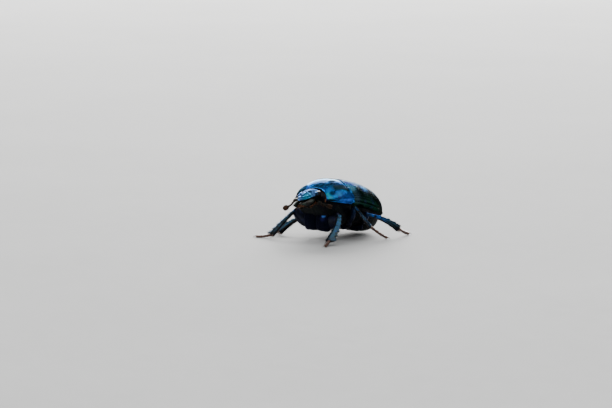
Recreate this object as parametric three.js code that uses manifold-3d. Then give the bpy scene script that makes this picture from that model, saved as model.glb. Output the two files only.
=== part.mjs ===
// A dor beetle, a dung beetle of the forest floor, standing on its six feet at life size.
// Millimetres, +Z up. The head points along -Y and the animal's left side along +X.
// The origin is on the floor, in the middle of the footprint that the legs and the body cover.

import * as THREE from "three";
import { mergeVertices } from "three/addons/utils/BufferGeometryUtils.js";
import Module from "manifold-3d";

const wasm = await Module();
wasm.setup();

// ---------------------------------------------------------------- driving dimensions

const GAP = 0.04; // clearance between neighbouring solids
const RIDE_HEIGHT = 5.2; // floor to the side margin of the shell, at the middle of the body
const PITCH = THREE.MathUtils.degToRad(10); // the body is carried nose up
const CENTRE_FORWARD = 0.2; // middle of the footprint, measured from the middle of the body
const CENTRE_LEFT = -1.25;

const WAIST = 1.7; // where the pronotum meets the wing cases, forward of the body's middle
const COLLAR = { at: 5.2, radius: 5.6 }; // the pronotum's front edge, hollowed round the head
const SUTURE = 0.02; // half of the slit between the wing cases
const TRUNK_JOINTS = [12, 1.4, -2.9, -12]; // ends of the prothorax, the hind thorax and the abdomen

// The body's forms: half-lengths to each side of a centre that lies "at" so far forward.
// Fullness 2 is an ellipsoid, and more is boxier. Facets are counted around and along.
const PRONOTUM = {
  at: 1.9, side: 4.6, front: 4.9, back: 4.2, top: 3.25, bottom: 0.6, fullness: 2.5, facets: [22, 11],
};
const WING_CASES = {
  at: -1.2, side: 4.65, front: 6.2, back: 6.7, top: 3.0, bottom: 1.2, fullness: 2.45, facets: [22, 12],
};
const PROTHORAX = {
  at: 2.3, side: 3.95, front: 3.9, back: 3.2, top: 2.45, bottom: 3.65, fullness: 3.3, facets: [14, 8],
};
const HIND_BODY = {
  at: -1.6, side: 4.05, front: 3.6, back: 6.1, top: 2.45, bottom: 4.0, fullness: 2.35, facets: [16, 9],
};

// How far out the pronotum's hind edge bends, and how far forward of the waist.
const WAIST_BENDS = [[0.5, 0], [1.3, 0.05], [2.5, 0.4], [3.5, 0.6], [4.3, 0.3], [4.6, -0.05], [6, -0.8]];
const NAPE = { from: 1.4, slope: 0.028 }; // how the pronotum's crown sinks towards the head
const CORNER = { from: 2.6, rise: 0.35, reach: 1.6 }; // how its margin rises to the hind corners
const MARGIN = { from: 1.2, height: 0.38, slope: 0.02, bend: 0.02 }; // how the wing cases' margin sinks
const SCUTELLUM = { half: 0.8, length: 1.15, shoulder: 0.1 };

// The head has a frame of its own. Every "at" and route is forward, out to the side, and up.
const HEAD_AT = [6.5, 0, 0.4];
const HEAD_TILT = THREE.MathUtils.degToRad(30); // it hangs nose down from the body
const HEAD_ROLL = THREE.MathUtils.degToRad(12); // and is cocked, its left side higher
const HEAD = { side: 1.7, front: 1.5, back: 1.5, top: 0.88, bottom: 1.2, fullness: 2.4, facets: [12, 7] };
const FACE_PLATE = { half: 1.8, reach: 1.84, depth: 0.5, low: -0.05 };
const CHEEK = { half: [0.5, 0.62, 0.26], at: [0.45, 1.68, 0.12], facets: [8, 5] };
const EYE = { half: [0.44, 0.5, 0.44], at: [-0.3, 1.56, -0.02], facets: [10, 6] };
const LIP = { side: 0.95, front: 0.45, back: 0.5, top: 0.27, bottom: 0.27, fullness: 2.6, facets: [8, 5] };
const LIP_AT = [1.75, 0, -0.4];
const JAW = { half: [0.42, 1.1, 0.4], at: [1.75, 1.4, -0.5], facets: [8, 6], hook: 0.45 };
const PALP = [[1.0, 0.7, -1.0], [1.6, 0.85, -1.4], [1.9, 1.1, -1.7]];

const HIPS = {
  front: { half: [1.3, 1, 1.55], at: [3.8, 1.36, -3.08], facets: [8, 6] },
  middle: { half: [0.95, 0.7, 0.55], at: [0.5, 1.6, -3.5], facets: [8, 6] },
  hind: { half: [1.6, 0.7, 0.5], at: [-2.3, 1.75, -3.4], facets: [8, 6] },
};

// Where each leg's hip, knee, ankle and toe, and each feeler's bends stand: forward and left of the
// middle of the body, and above the floor.
const LEGS = {
  front_left: [[4.4, 1.5, 2.2], [4.5, 4.2, 3.95], [8.15, 5.5, 0.75], [9.9, 6.2, 0.15]],
  front_right: [[4.4, -1.5, 1.9], [4.6, -4.5, 3.95], [8.2, -6.0, 0.5], [9.4, -8.3, 0.15]],
  middle_left: [[0.9, 2.7, 2.1], [2.3, 5.4, 5.0], [-0.2, 6.1, 2.05], [-2.6, 7.7, 0.15]],
  middle_right: [[0.9, -2.5, 1.75], [2.4, -5.4, 2.5], [4.9, -7.35, 0.5], [3.8, -10.1, 0.15]],
  hind_left: [[-2.4, 1.9, 1.9], [-0.8, 5.1, 3.65], [-5.2, 7.4, 1.3], [-8.2, 7.0, 0.15]],
  hind_right: [[-2.4, -1.9, 1.9], [-2.7, -5.4, 3.4], [-6.7, -6.9, 0.9], [-9.5, -8.2, 0.15]],
};
const FEELERS = {
  left: [[6.5, 1.55, 6.15], [6.7, 2.3, 5.9], [6.65, 3.0, 5.75], [6.5, 3.6, 5.6]],
  right: [[6.5, -1.7, 6.15], [7.0, -2.4, 5.8], [7.3, -2.85, 5.2], [7.5, -3.25, 4.93]],
};
// The way that the broad side of each club's leaves runs.
const CLUB_TURN = { left: [0, -1, 0.25], right: [-1, 0, 0.3] };

// Half-widths: of the thigh across and through, and of the shin at the knee, at the ankle and through.
const LIMB = {
  front: { thigh: [1.2, 0.62], shin: [0.45, 0.68, 0.29], teeth: 5, spurs: 1 },
  middle: { thigh: [0.8, 0.5], shin: [0.31, 0.58, 0.28], teeth: 2, spurs: 2 },
  hind: { thigh: [0.9, 0.52], shin: [0.28, 0.54, 0.28], teeth: 2, spurs: 2 },
};
const THIGH = { fullness: 2.3, facets: [8, 6], overlap: 0.12 };
// How far a shin's blade is turned about its length, in degrees, and how far it bows outwards.
const SHIN_ROLL = { front_left: -35, front_right: 30, middle_left: 55, hind_left: -38, hind_right: 25 };
const SHIN_BOW = { front_left: 0.3, hind_left: 0.34, usual: 0.18 };
const TOOTH = { base: 0.25, tip: 0.04, length: 0.72, lean: -0.38 * Math.PI, sunk: 0.42, back: 0.15 };
const SPUR = { base: 0.16, tip: 0.04, length: 0.95, lean: 0.35, sunk: 0.3, stagger: 0.2 };
const FINE_RADIUS = 0.27; // the feet and feelers are the thinnest solids
const FOOT = { joints: 5, last: 0.28, waist: 0.86, rim: 1.06, sides: 5 };
const CLAW = { base: 0.18, tip: 0.06, length: 0.6, spread: 0.6, droop: 0.25, sunk: 0.12 };
const CLUB_LEAF = { half: [0.38, 0.5, 0.17], facets: [8, 4], along: 0.4, pitch: 0.2 };

const FAR = 30; // cutting blocks reach this far past the animal
const CRUMB = 1e-3; // cubic millimetres, below which a loose piece left by a cut is dropped

const COLOURS = {
  shell: [0x101c30, 0.18, 0.6],
  belly: [0x0b1020, 0.3, 0.5],
  leg: [0x122440, 0.25, 0.6],
  foot: [0x2a1712, 0.4, 0.1],
  feeler: [0x3a1c10, 0.45, 0.0],
  club: [0x7a3a16, 0.7, 0.0],
  eye: [0x050505, 0.08, 0.0],
  jaw: [0x14100e, 0.2, 0.2],
};

// ---------------------------------------------------------------- frames

const world = new THREE.Matrix4();
const UP = new THREE.Vector3(0, 0, 1);
const SIDES = { left: 1, right: -1 };

// A point given forward, left and up, in the frame of a group.
function local([forward, left, up]) {
  return new THREE.Vector3(left, -forward, up);
}

function mirrored([forward, out, up], side) {
  return [forward, side * out, up];
}

// A point of the stance, given forward and left of the middle of the body and above the floor.
function stand([forward, left, up]) {
  return new THREE.Vector3(left - CENTRE_LEFT, CENTRE_FORWARD - forward, up);
}

function shift(frame, point) {
  return frame.clone().multiply(new THREE.Matrix4().makeTranslation(point.x, point.y, point.z));
}

function pitched(frame, angle) {
  return frame.multiply(new THREE.Matrix4().makeRotationX(angle));
}

function rolled(frame, angle) {
  return frame.multiply(new THREE.Matrix4().makeRotationY(angle));
}

const bodyFrame = pitched(shift(world, stand([0, 0, RIDE_HEIGHT])), -PITCH);
const headFrame = rolled(pitched(shift(bodyFrame, local(HEAD_AT)), HEAD_TILT), -HEAD_ROLL);

// The frame of a limb that runs along +Y from a joint to the next, with +X towards "outer".
function limbFrame(from, to, outer) {
  const along = to.clone().sub(from).normalize();
  const out = outer.clone().addScaledVector(along, -outer.dot(along)).normalize();
  const across = new THREE.Vector3().crossVectors(out, along);
  return new THREE.Matrix4().makeBasis(out, along, across).setPosition(from);
}

// ---------------------------------------------------------------- shapes

// A sphere drawn out into an egg, and then bent by "warp".
function egg(form, warp = (point) => point) {
  const { side, front, back, top, bottom, fullness = 2, facets } = form;
  const ball = new THREE.SphereGeometry(1, ...facets);
  const points = ball.attributes.position;
  const v = new THREE.Vector3();
  for (let i = 0; i < points.count; i++) {
    v.fromBufferAttribute(points, i);
    const reach = v.toArray().reduce((sum, c) => sum + Math.abs(c) ** fullness, 0);
    v.multiplyScalar(reach ** (-1 / fullness));
    v.set(v.x * side, v.y * (v.y < 0 ? front : back), v.z * (v.z > 0 ? top : bottom));
    points.setXYZ(i, ...warp(v).toArray());
  }
  return ball;
}

// An egg with the same half-length both ways along each axis, larger by "by" all round.
function ovoid({ half, facets }, by = 0, warp = undefined) {
  const [side, length, height] = half.map((h) => h + by);
  return egg({ side, front: length, back: length, top: height, bottom: height, facets }, warp);
}

function grown(form, by) {
  const larger = { ...form };
  for (const key of ["side", "front", "back", "top", "bottom"]) larger[key] += by;
  return larger;
}

// A fine tube along a smooth curve through the points.
function tube(points, steps) {
  const ring = new THREE.Path().absarc(0, 0, FINE_RADIUS, 0, 2 * Math.PI).getPoints(6);
  const section = new THREE.Shape(ring.slice(1));
  const extrudePath = new THREE.CatmullRomCurve3(points);
  return new THREE.ExtrudeGeometry(section, { steps, extrudePath, bevelEnabled: false });
}

// A blunt cone along +Y with its base at the origin.
function spike({ base, tip, length }, by = 0, sides = 4) {
  const tall = length + by;
  return new THREE.CylinderGeometry(tip + by, base + by, tall, sides).translate(0, tall / 2, 0);
}

// A geometry, placed by a matrix, as a closed solid that can be joined and cut.
function solid(geometry, frame) {
  const bare = geometry.clone();
  bare.deleteAttribute("normal");
  bare.deleteAttribute("uv");
  bare.applyMatrix4(frame);
  const merged = mergeVertices(bare, 1e-4);
  const mesh = new wasm.Mesh({
    numProp: 3,
    vertProperties: merged.attributes.position.array,
    triVerts: new Uint32Array(merged.index.array),
  });
  return new wasm.Manifold(mesh);
}

function join(parts) {
  return parts.reduce((whole, part) => whole.add(part));
}

function geometryOf(made) {
  const kept = join(made.decompose().filter((part) => part.volume() > CRUMB));
  const { vertProperties, triVerts } = kept.getMesh();
  const geometry = new THREE.BufferGeometry();
  geometry.setAttribute("position", new THREE.BufferAttribute(vertProperties, 3));
  geometry.setIndex(new THREE.BufferAttribute(triVerts, 1));
  return geometry;
}

function slab(width, length, height, frame, middle) {
  return solid(new THREE.BoxGeometry(width, length, height), shift(frame, middle));
}

const ground = slab(2 * FAR, 2 * FAR, FAR, world, new THREE.Vector3(0, 0, -FAR / 2));

// ---------------------------------------------------------------- assembly

const beetle = new THREE.Group();
beetle.name = "dor_beetle";

function group(name, frame) {
  const made = new THREE.Group();
  made.name = name;
  made.applyMatrix4(frame);
  made.updateMatrixWorld(true);
  beetle.add(made);
  return made;
}

// Adds one sub-part to a group, as a mesh whose own axes are those of "frame".
function addPiece(parent, name, made, frame, look) {
  const [color, roughness, metalness] = COLOURS[look];
  const geometry = geometryOf(made).applyMatrix4(frame.clone().invert());
  const mesh = new THREE.Mesh(geometry, new THREE.MeshStandardMaterial({ color, roughness, metalness }));
  mesh.name = name;
  const placed = parent.matrixWorld.clone().invert().multiply(frame);
  placed.decompose(mesh.position, mesh.quaternion, mesh.scale);
  parent.add(mesh);
}

const body = group("body", bodyFrame);
const face = group("face", headFrame);

// ---------------------------------------------------------------- trunk

// The pronotum's crown slopes down to the head, and its side margin rises to the hind corners.
function pronotumWarp(form) {
  return (v) => {
    const forward = form.at - v.y;
    const ahead = Math.max(0, forward - NAPE.from);
    const behind = THREE.MathUtils.clamp(CORNER.from - forward, 0, CORNER.reach);
    const low = Math.max(0, 1 - Math.abs(v.z) / form.top);
    return v.setZ(v.z * (1 - NAPE.slope * ahead ** 2) + low * CORNER.rise * behind ** 2);
  };
}

// The wing cases, and the body under them, sink towards the tail.
function tailWarp(form) {
  return (v) => {
    const behind = Math.max(0, MARGIN.from - form.at + v.y);
    return v.setZ(v.z + MARGIN.height - MARGIN.slope * behind - MARGIN.bend * behind ** 2);
  };
}

function bodyForm(form, warp, by) {
  return solid(egg(grown(form, by), warp(form)), shift(bodyFrame, local([form.at, 0, 0])));
}

function trunkSolid(by) {
  return bodyForm(PROTHORAX, pronotumWarp, by).add(bodyForm(HIND_BODY, tailWarp, by));
}

function hipSolid(pair, side, by) {
  return solid(ovoid(HIPS[pair], by), shift(bodyFrame, local(mirrored(HIPS[pair].at, side))));
}

// The trunk under the shell: prothorax, hind thorax and abdomen, hollowed where other parts sit.
function addTrunk(rooms) {
  const carved = trunkSolid(0).subtract(join(rooms));
  for (const [k, name] of ["prothorax", "thorax", "abdomen"].entries()) {
    const [front, back] = TRUNK_JOINTS.slice(k, k + 2);
    const band = slab(FAR, front - back - GAP, FAR, bodyFrame, local([(front + back) / 2, 0, 0]));
    addPiece(body, name, carved.intersect(band), bodyFrame, "belly");
  }
}

// ---------------------------------------------------------------- shell

// Everything ahead of the pronotum's hind edge, which bends twice on each side, set back by "back".
function aheadOfWaist(back) {
  const half = WAIST_BENDS.map(([out, bend]) => new THREE.Vector2(out, back - WAIST - bend));
  const otherHalf = half.map(({ x, y }) => new THREE.Vector2(-x, y)).reverse();
  const corner = half.at(-1).y;
  const outline = new THREE.Shape();
  outline.moveTo(-FAR / 2, corner);
  outline.splineThru([...otherHalf, ...half]);
  outline.lineTo(FAR / 2, corner);
  outline.lineTo(FAR / 2, -FAR / 2);
  outline.lineTo(-FAR / 2, -FAR / 2);
  const block = new THREE.ExtrudeGeometry(outline, { depth: FAR, curveSegments: 2, bevelEnabled: false });
  return solid(block.translate(0, 0, -FAR / 2), bodyFrame);
}

// A post with the outline of the small three-cornered shield between the wing cases.
function shieldPost(by) {
  const half = SCUTELLUM.half + by;
  const length = SCUTELLUM.length + by;
  const outline = new THREE.Shape();
  outline.moveTo(-half, -1);
  outline.lineTo(half, -1);
  outline.lineTo(half, SCUTELLUM.shoulder);
  outline.quadraticCurveTo(half * 0.7, length * 0.7, 0, length);
  outline.quadraticCurveTo(-half * 0.7, length * 0.7, -half, SCUTELLUM.shoulder);
  const post = new THREE.ExtrudeGeometry(outline, { depth: FAR, curveSegments: 3, bevelEnabled: false });
  return solid(post, shift(bodyFrame, local([WAIST, 0, 0])));
}

function addShell(headRoom) {
  const under = trunkSolid(GAP).add(headRoom);
  const post = new THREE.CylinderGeometry(COLLAR.radius, COLLAR.radius, FAR, 32).rotateX(Math.PI / 2);
  const collar = solid(post, shift(bodyFrame, local([COLLAR.at + COLLAR.radius, 0, 0])));
  const dome = bodyForm(PRONOTUM, pronotumWarp, 0).intersect(aheadOfWaist(0));
  addPiece(body, "pronotum", dome.subtract(collar).subtract(under), bodyFrame, "shell");

  const cases = bodyForm(WING_CASES, tailWarp, 0).subtract(aheadOfWaist(GAP)).subtract(under);
  addPiece(body, "scutellum", cases.intersect(shieldPost(0)), bodyFrame, "shell");
  const open = cases.subtract(shieldPost(GAP));
  for (const [name, side] of Object.entries(SIDES)) {
    const half = slab(FAR, 2 * FAR, 2 * FAR, bodyFrame, local([0, side * (FAR / 2 + SUTURE), 0]));
    addPiece(body, `elytron_${name}`, open.intersect(half), bodyFrame, "shell");
  }
}

// ---------------------------------------------------------------- head

function onHead(at) {
  return shift(headFrame, local(at));
}

// An ovoid on each side of the head.
function pairOf(form, by) {
  return join(Object.values(SIDES).map((side) => solid(ovoid(form, by), onHead(mirrored(form.at, side)))));
}

function lipSolid(by) {
  return solid(egg(grown(LIP, by)), onHead(LIP_AT));
}

// The half-round plate over the mouth.
function facePlate(by) {
  const half = FACE_PLATE.half + by;
  const reach = FACE_PLATE.reach + by;
  const outline = new THREE.Shape();
  outline.moveTo(half, 0);
  outline.quadraticCurveTo(half * 0.94, -reach * 0.55, half * 0.5, -reach * 0.9);
  outline.quadraticCurveTo(0, -reach * 1.12, -half * 0.5, -reach * 0.9);
  outline.quadraticCurveTo(-half * 0.94, -reach * 0.55, -half, 0);
  const depth = FACE_PLATE.depth + 2 * by;
  const plate = new THREE.ExtrudeGeometry(outline, { depth, curveSegments: 3, bevelEnabled: false });
  return solid(plate, onHead([0, 0, FACE_PLATE.low - by]));
}

// The head: a broad capsule, the plate over the mouth, and a cheek that runs out over each eye.
function headSolid(by) {
  return join([solid(egg(grown(HEAD, by)), headFrame), facePlate(by), pairOf(CHEEK, by)]);
}

function addHead(headRoom) {
  addPiece(face, "head", headSolid(0).subtract(pairOf(EYE, GAP)), headFrame, "shell");
  addPiece(face, "labrum", lipSolid(0).subtract(headRoom), headFrame, "jaw");
  for (const [name, side] of Object.entries(SIDES)) {
    const eyeFrame = onHead(mirrored(EYE.at, side));
    const jawFrame = onHead(mirrored(JAW.at, side));
    const hooked = (v) => v.setX(v.x - side * JAW.hook * Math.max(0, -v.y) ** 1.5);
    const jaw = solid(ovoid(JAW, 0, hooked), jawFrame);
    const palp = solid(tube(PALP.map((stop) => local(mirrored(stop, side))), 3), headFrame);
    addPiece(face, `eye_${name}`, solid(ovoid(EYE), eyeFrame), eyeFrame, "eye");
    addPiece(face, `mandible_${name}`, jaw.subtract(headRoom).subtract(lipSolid(GAP)), jawFrame, "jaw");
    addPiece(face, `palp_${name}`, palp.subtract(headRoom), headFrame, "feeler");
  }
}

// The feelers: a stem, and a club of three leaves at its end.
function addFeelers(headRoom) {
  const { half: [width, length, depth], along, pitch } = CLUB_LEAF;
  const clubForm = { half: [width, length, depth + pitch], facets: [10, 6] };
  for (const [name, stops] of Object.entries(FEELERS)) {
    const route = stops.map(stand);
    const end = route.at(-1);
    const onward = end.clone().multiplyScalar(2).sub(route.at(-2));
    const clubFrame = limbFrame(end, onward, new THREE.Vector3(...CLUB_TURN[name]));
    const leaf = (k) => solid(ovoid(CLUB_LEAF).translate(0, along, k * pitch), clubFrame);
    const seat = solid(ovoid(clubForm, GAP).translate(0, along, 0), clubFrame);
    const stem = solid(tube(route, 4), world).subtract(headRoom).subtract(seat);
    addPiece(face, `antenna_${name}`, stem, shift(world, route[0]), "feeler");
    addPiece(face, `antenna_club_${name}`, join([-1, 0, 1].map(leaf)), clubFrame, "club");
  }
}

// ---------------------------------------------------------------- legs

function thighSolid({ thigh: [width, thickness] }, length, frame, by) {
  const half = length / 2 + THIGH.overlap;
  const swell = (v) => {
    const along = (v.y + half) / (2 * half);
    const share = 0.72 + 0.5 * along * (1.25 - along);
    return v.set(v.x * share, v.y + length / 2, v.z * share);
  };
  const form = { ...THIGH, side: width, front: half, back: half, top: thickness, bottom: thickness };
  return solid(egg(grown(form, by), swell), frame);
}

function shinWidth([knee, ankle], along) {
  return knee + (ankle - knee) * along;
}

function shinBow({ bow }, along) {
  return bow * Math.sin(Math.PI * along);
}

// A shin's blade widens from the knee to the ankle and bows outwards.
function shinBlade(limb, length, frame, by) {
  const { shin } = limb;
  const [knee, ankle, through] = shin;
  const blade = new THREE.CylinderGeometry(ankle + by, knee + by, length + 2 * by, 8, 2);
  blade.translate(0, length / 2, 0);
  const points = blade.attributes.position;
  for (let i = 0; i < points.count; i++) {
    const along = points.getY(i) / length;
    points.setX(i, points.getX(i) + shinBow(limb, along));
    points.setZ(i, points.getZ(i) * Math.min(1, (through + by) / (shinWidth(shin, along) + by)));
  }
  return solid(blade, frame);
}

// The spurs stand on the inner side of the shin's end.
function shinSpurs({ shin, spurs }, length, frame, by) {
  const made = [];
  for (let k = 0; k < spurs; k++) {
    const spur = spike(SPUR, by).rotateZ(SPUR.lean - 0.2 * k);
    const beside = SPUR.stagger * (1 - 2 * k);
    made.push(solid(spur.translate(-shin[1] * (0.65 - 0.4 * k), length - SPUR.sunk, beside), frame));
  }
  return join(made);
}

// The teeth on the shin's outer edge grow towards its end.
function shinTeeth(limb, length, frame) {
  const { shin, teeth } = limb;
  const made = [];
  for (let k = 0; k < teeth; k++) {
    const along = 0.95 - (0.66 * k) / teeth;
    const size = 1 - (0.5 * k) / teeth;
    const root = shinWidth(shin, along) + shinBow(limb, along) - TOOTH.sunk * size;
    const tooth = spike(TOOTH, 0, 3).scale(size, size, size).rotateZ(TOOTH.lean);
    made.push(solid(tooth.translate(root, length * along - TOOTH.back * size, 0), frame));
  }
  return join(made);
}

// A foot: short cone-shaped joints in a row, a longer last one, and two claws.
function footSolid(length, frame) {
  const step = (length * (1 - FOOT.last)) / (FOOT.joints - 1);
  const profile = [new THREE.Vector2(0, -0.05)];
  for (let k = 0; k < FOOT.joints; k++) {
    const end = k < FOOT.joints - 1 ? (k + 1) * step : length;
    profile.push(new THREE.Vector2(FINE_RADIUS * FOOT.waist, k * step));
    profile.push(new THREE.Vector2(FINE_RADIUS * FOOT.rim, end - GAP));
  }
  profile.push(new THREE.Vector2(0, length));
  const claws = Object.values(SIDES).map((side) => {
    const claw = spike(CLAW, 0, 3).rotateX(side * CLAW.spread).rotateZ(CLAW.droop);
    return solid(claw.translate(0, length - CLAW.sunk, side * CLAW.sunk), frame);
  });
  return join([solid(new THREE.LatheGeometry(profile, FOOT.sides), frame), ...claws]);
}

// Adds a leg, and returns the room that its hip and thigh need in the trunk.
function addLeg(name, joints) {
  const [pair, sideName] = name.split("_");
  const side = SIDES[sideName];
  const limb = { ...LIMB[pair], bow: SHIN_BOW[name] ?? SHIN_BOW.usual };
  const [hip, knee, ankle, toe] = joints.map(stand);
  const thighLength = hip.distanceTo(knee);
  const shinLength = knee.distanceTo(ankle);
  const thighFrame = limbFrame(hip, knee, UP);
  const roll = THREE.MathUtils.degToRad(SHIN_ROLL[name] ?? 0);
  const shinFrame = rolled(limbFrame(knee, ankle, knee.clone().sub(hip)), roll);
  const footFrame = limbFrame(ankle, toe, UP);
  const hipFrame = shift(bodyFrame, local(mirrored(HIPS[pair].at, side)));

  const hipRoom = hipSolid(pair, side, GAP);
  const thighRoom = thighSolid(limb, thighLength, thighFrame, GAP);
  const thigh = thighSolid(limb, thighLength, thighFrame, 0).subtract(hipRoom);
  const shinOf = (by) => [shinBlade, shinSpurs].map((make) => make(limb, shinLength, shinFrame, by));
  const shin = join([...shinOf(0), shinTeeth(limb, shinLength, shinFrame)]).subtract(thighRoom);
  const foot = footSolid(ankle.distanceTo(toe), footFrame).subtract(join(shinOf(GAP)));

  const leg = group(`leg_${name}`, shift(world, hip));
  addPiece(leg, `coxa_${name}`, hipSolid(pair, side, 0), hipFrame, "belly");
  addPiece(leg, `femur_${name}`, thigh, thighFrame, "leg");
  addPiece(leg, `tibia_${name}`, shin.subtract(ground), shinFrame, "leg");
  addPiece(leg, `tarsus_${name}`, foot.subtract(ground), footFrame, "foot");
  return hipRoom.add(thighRoom);
}

// ---------------------------------------------------------------- the beetle

const headRoom = headSolid(GAP).add(pairOf(EYE, GAP));
const legRooms = Object.entries(LEGS).map(([name, joints]) => addLeg(name, joints));
addTrunk([...legRooms, headRoom]);
addShell(headRoom);
addHead(headRoom);
addFeelers(headRoom);

export default beetle;
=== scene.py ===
"""A dor beetle at life size, standing on its six feet.

Every piece is shaped in millimetres, in the frame of the body, the head or a limb, and brought to
metres in the row's frame as it is placed. In the body's frame +X is the animal's left, -Y is
forward and +Z is up.
"""

import math
import random

import bmesh
import bpy
import numpy as np
from mathutils import Matrix, Vector, kdtree, noise


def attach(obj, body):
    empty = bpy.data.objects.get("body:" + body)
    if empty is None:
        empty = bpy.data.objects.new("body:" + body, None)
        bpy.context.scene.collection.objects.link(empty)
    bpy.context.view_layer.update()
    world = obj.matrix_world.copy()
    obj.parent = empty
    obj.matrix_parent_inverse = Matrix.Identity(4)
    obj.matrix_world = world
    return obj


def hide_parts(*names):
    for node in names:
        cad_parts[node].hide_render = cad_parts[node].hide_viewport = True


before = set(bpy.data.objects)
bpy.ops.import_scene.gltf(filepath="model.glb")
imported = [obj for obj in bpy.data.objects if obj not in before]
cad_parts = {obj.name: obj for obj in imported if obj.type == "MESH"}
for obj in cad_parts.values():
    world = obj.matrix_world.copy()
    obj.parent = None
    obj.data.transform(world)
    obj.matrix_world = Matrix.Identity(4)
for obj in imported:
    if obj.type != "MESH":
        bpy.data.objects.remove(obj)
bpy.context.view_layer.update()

METRES = Matrix.Scale(0.001, 4)
random.seed(7)

# ---------------------------------------------------------------- the stance

RIDE_HEIGHT = 5.2
PITCH = math.radians(10)
CENTRE_FORWARD = 0.2
CENTRE_LEFT = -1.25
WAIST = 1.7
COLLAR_AT = 5.2
COLLAR_RADIUS = 5.6
SUTURE = 0.02
HEAD_AT = (6.5, 0, 0.4)
HEAD_TILT = math.radians(30)
HEAD_ROLL = math.radians(12)
SIDES = {"left": 1, "right": -1}

# Each leg's hip, knee, ankle and toe: forward and left of the body's middle, and above the floor.
LEGS = {
    "front_left": [(4.4, 1.5, 2.2), (4.5, 4.2, 3.95), (8.15, 5.5, 0.75), (9.9, 6.2, 0.15)],
    "front_right": [(4.4, -1.5, 1.9), (4.6, -4.5, 3.95), (8.2, -6.0, 0.5), (9.4, -8.3, 0.15)],
    "middle_left": [(0.9, 2.7, 2.1), (2.3, 5.4, 5.0), (-0.2, 6.1, 2.05), (-2.6, 7.7, 0.15)],
    "middle_right": [(0.9, -2.5, 1.75), (2.4, -5.4, 2.5), (4.9, -7.35, 0.5), (3.8, -10.1, 0.15)],
    "hind_left": [(-2.4, 1.9, 1.9), (-0.8, 5.1, 3.65), (-5.2, 7.4, 1.3), (-8.2, 7.0, 0.15)],
    "hind_right": [(-2.4, -1.9, 1.9), (-2.7, -5.4, 3.4), (-6.7, -6.9, 0.9), (-9.5, -8.2, 0.15)],
}
FEELERS = {
    "left": [(6.5, 1.55, 6.15), (6.7, 2.3, 5.9), (6.65, 3.0, 5.75), (6.5, 3.6, 5.6)],
    "right": [(6.5, -1.7, 6.15), (7.0, -2.4, 5.8), (7.3, -2.85, 5.2), (7.5, -3.25, 4.93)],
}
# The way that the broad side of each club's leaves runs.
CLUB_TURN = {"left": (0, -1, 0.25), "right": (-1, 0, 0.3)}
# Half-widths and half-thicknesses; a shin has one half-width at each end.
LIMB = {
    "front": {"thigh": (1.2, 0.62), "shin": (0.45, 0.68, 0.29)},
    "middle": {"thigh": (0.80, 0.5), "shin": (0.31, 0.58, 0.27)},
    "hind": {"thigh": (0.90, 0.52), "shin": (0.28, 0.54, 0.27)},
}
# How far each shin's blade is turned about its length, in degrees, and how far it bows outwards.
SHIN_ROLL = {"front_left": -35, "front_right": 30, "middle_left": 55, "hind_left": -38, "hind_right": 25}
# A shin's faces that point up less than this get the dark belly finish: painted shade on the shin's underside.
SHIN_SHADE = {
    "front_right": 0.6, "middle_left": -0.3, "middle_right": 0.5, "hind_left": -0.12, "hind_right": -0.3
}
SHIN_BOW = {"front_left": 0.30, "hind_left": 0.34}
HIPS = {
    "front": {"half": (1.50, 1.05, 1.62), "at": (3.8, 1.20, -3.08)},
    "middle": {"half": (0.95, 0.7, 0.55), "at": (0.5, 1.6, -3.5)},
    "hind": {"half": (1.6, 0.7, 0.5), "at": (-2.3, 1.75, -3.4)},
}


def local(forward, left, up):
    return Vector((left, -forward, up))


def stand(forward, left, up):
    return Vector((left - CENTRE_LEFT, CENTRE_FORWARD - forward, up))


BODY = Matrix.Translation(stand(0, 0, RIDE_HEIGHT)) @ Matrix.Rotation(-PITCH, 4, "X")
HEAD = BODY @ Matrix.Translation(local(*HEAD_AT)) @ Matrix.Rotation(HEAD_TILT, 4, "X") @ Matrix.Rotation(-HEAD_ROLL, 4, "Y")
ROW = Matrix.Identity(4)


def limb_frame(start, end, outer):
    """A limb's frame: +Y runs from one joint to the next, and +X points towards "outer"."""
    along = (end - start).normalized()
    out = (outer - along * outer.dot(along)).normalized()
    across = out.cross(along)
    return Matrix.Translation(start) @ Matrix((out, along, across)).transposed().to_4x4()


# ---------------------------------------------------------------- small sums


def lerp(a, b, t):
    return a + (b - a) * t


def clamp(x, low=0.0, high=1.0):
    return max(low, min(high, x))


def ease(x, start=0.0, stop=1.0):
    t = clamp((x - start) / (stop - start))
    return t * t * (3 - 2 * t)


def hump(x, width):
    return math.exp(-((x / width) ** 2))


def ripple(point, size, seed=0.0):
    """Smooth noise from -1 to 1, with lumps of about this size."""
    return noise.noise(Vector((point.x / size + seed, point.y / size, point.z / size)))


def through(stops, x):
    """A smooth value through (x, value) stops."""
    if x <= stops[0][0]:
        return stops[0][1]
    for (x0, y0), (x1, y1) in zip(stops, stops[1:]):
        if x <= x1:
            return lerp(y0, y1, ease(x, x0, x1))
    return stops[-1][1]


# ---------------------------------------------------------------- the body's forms


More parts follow.
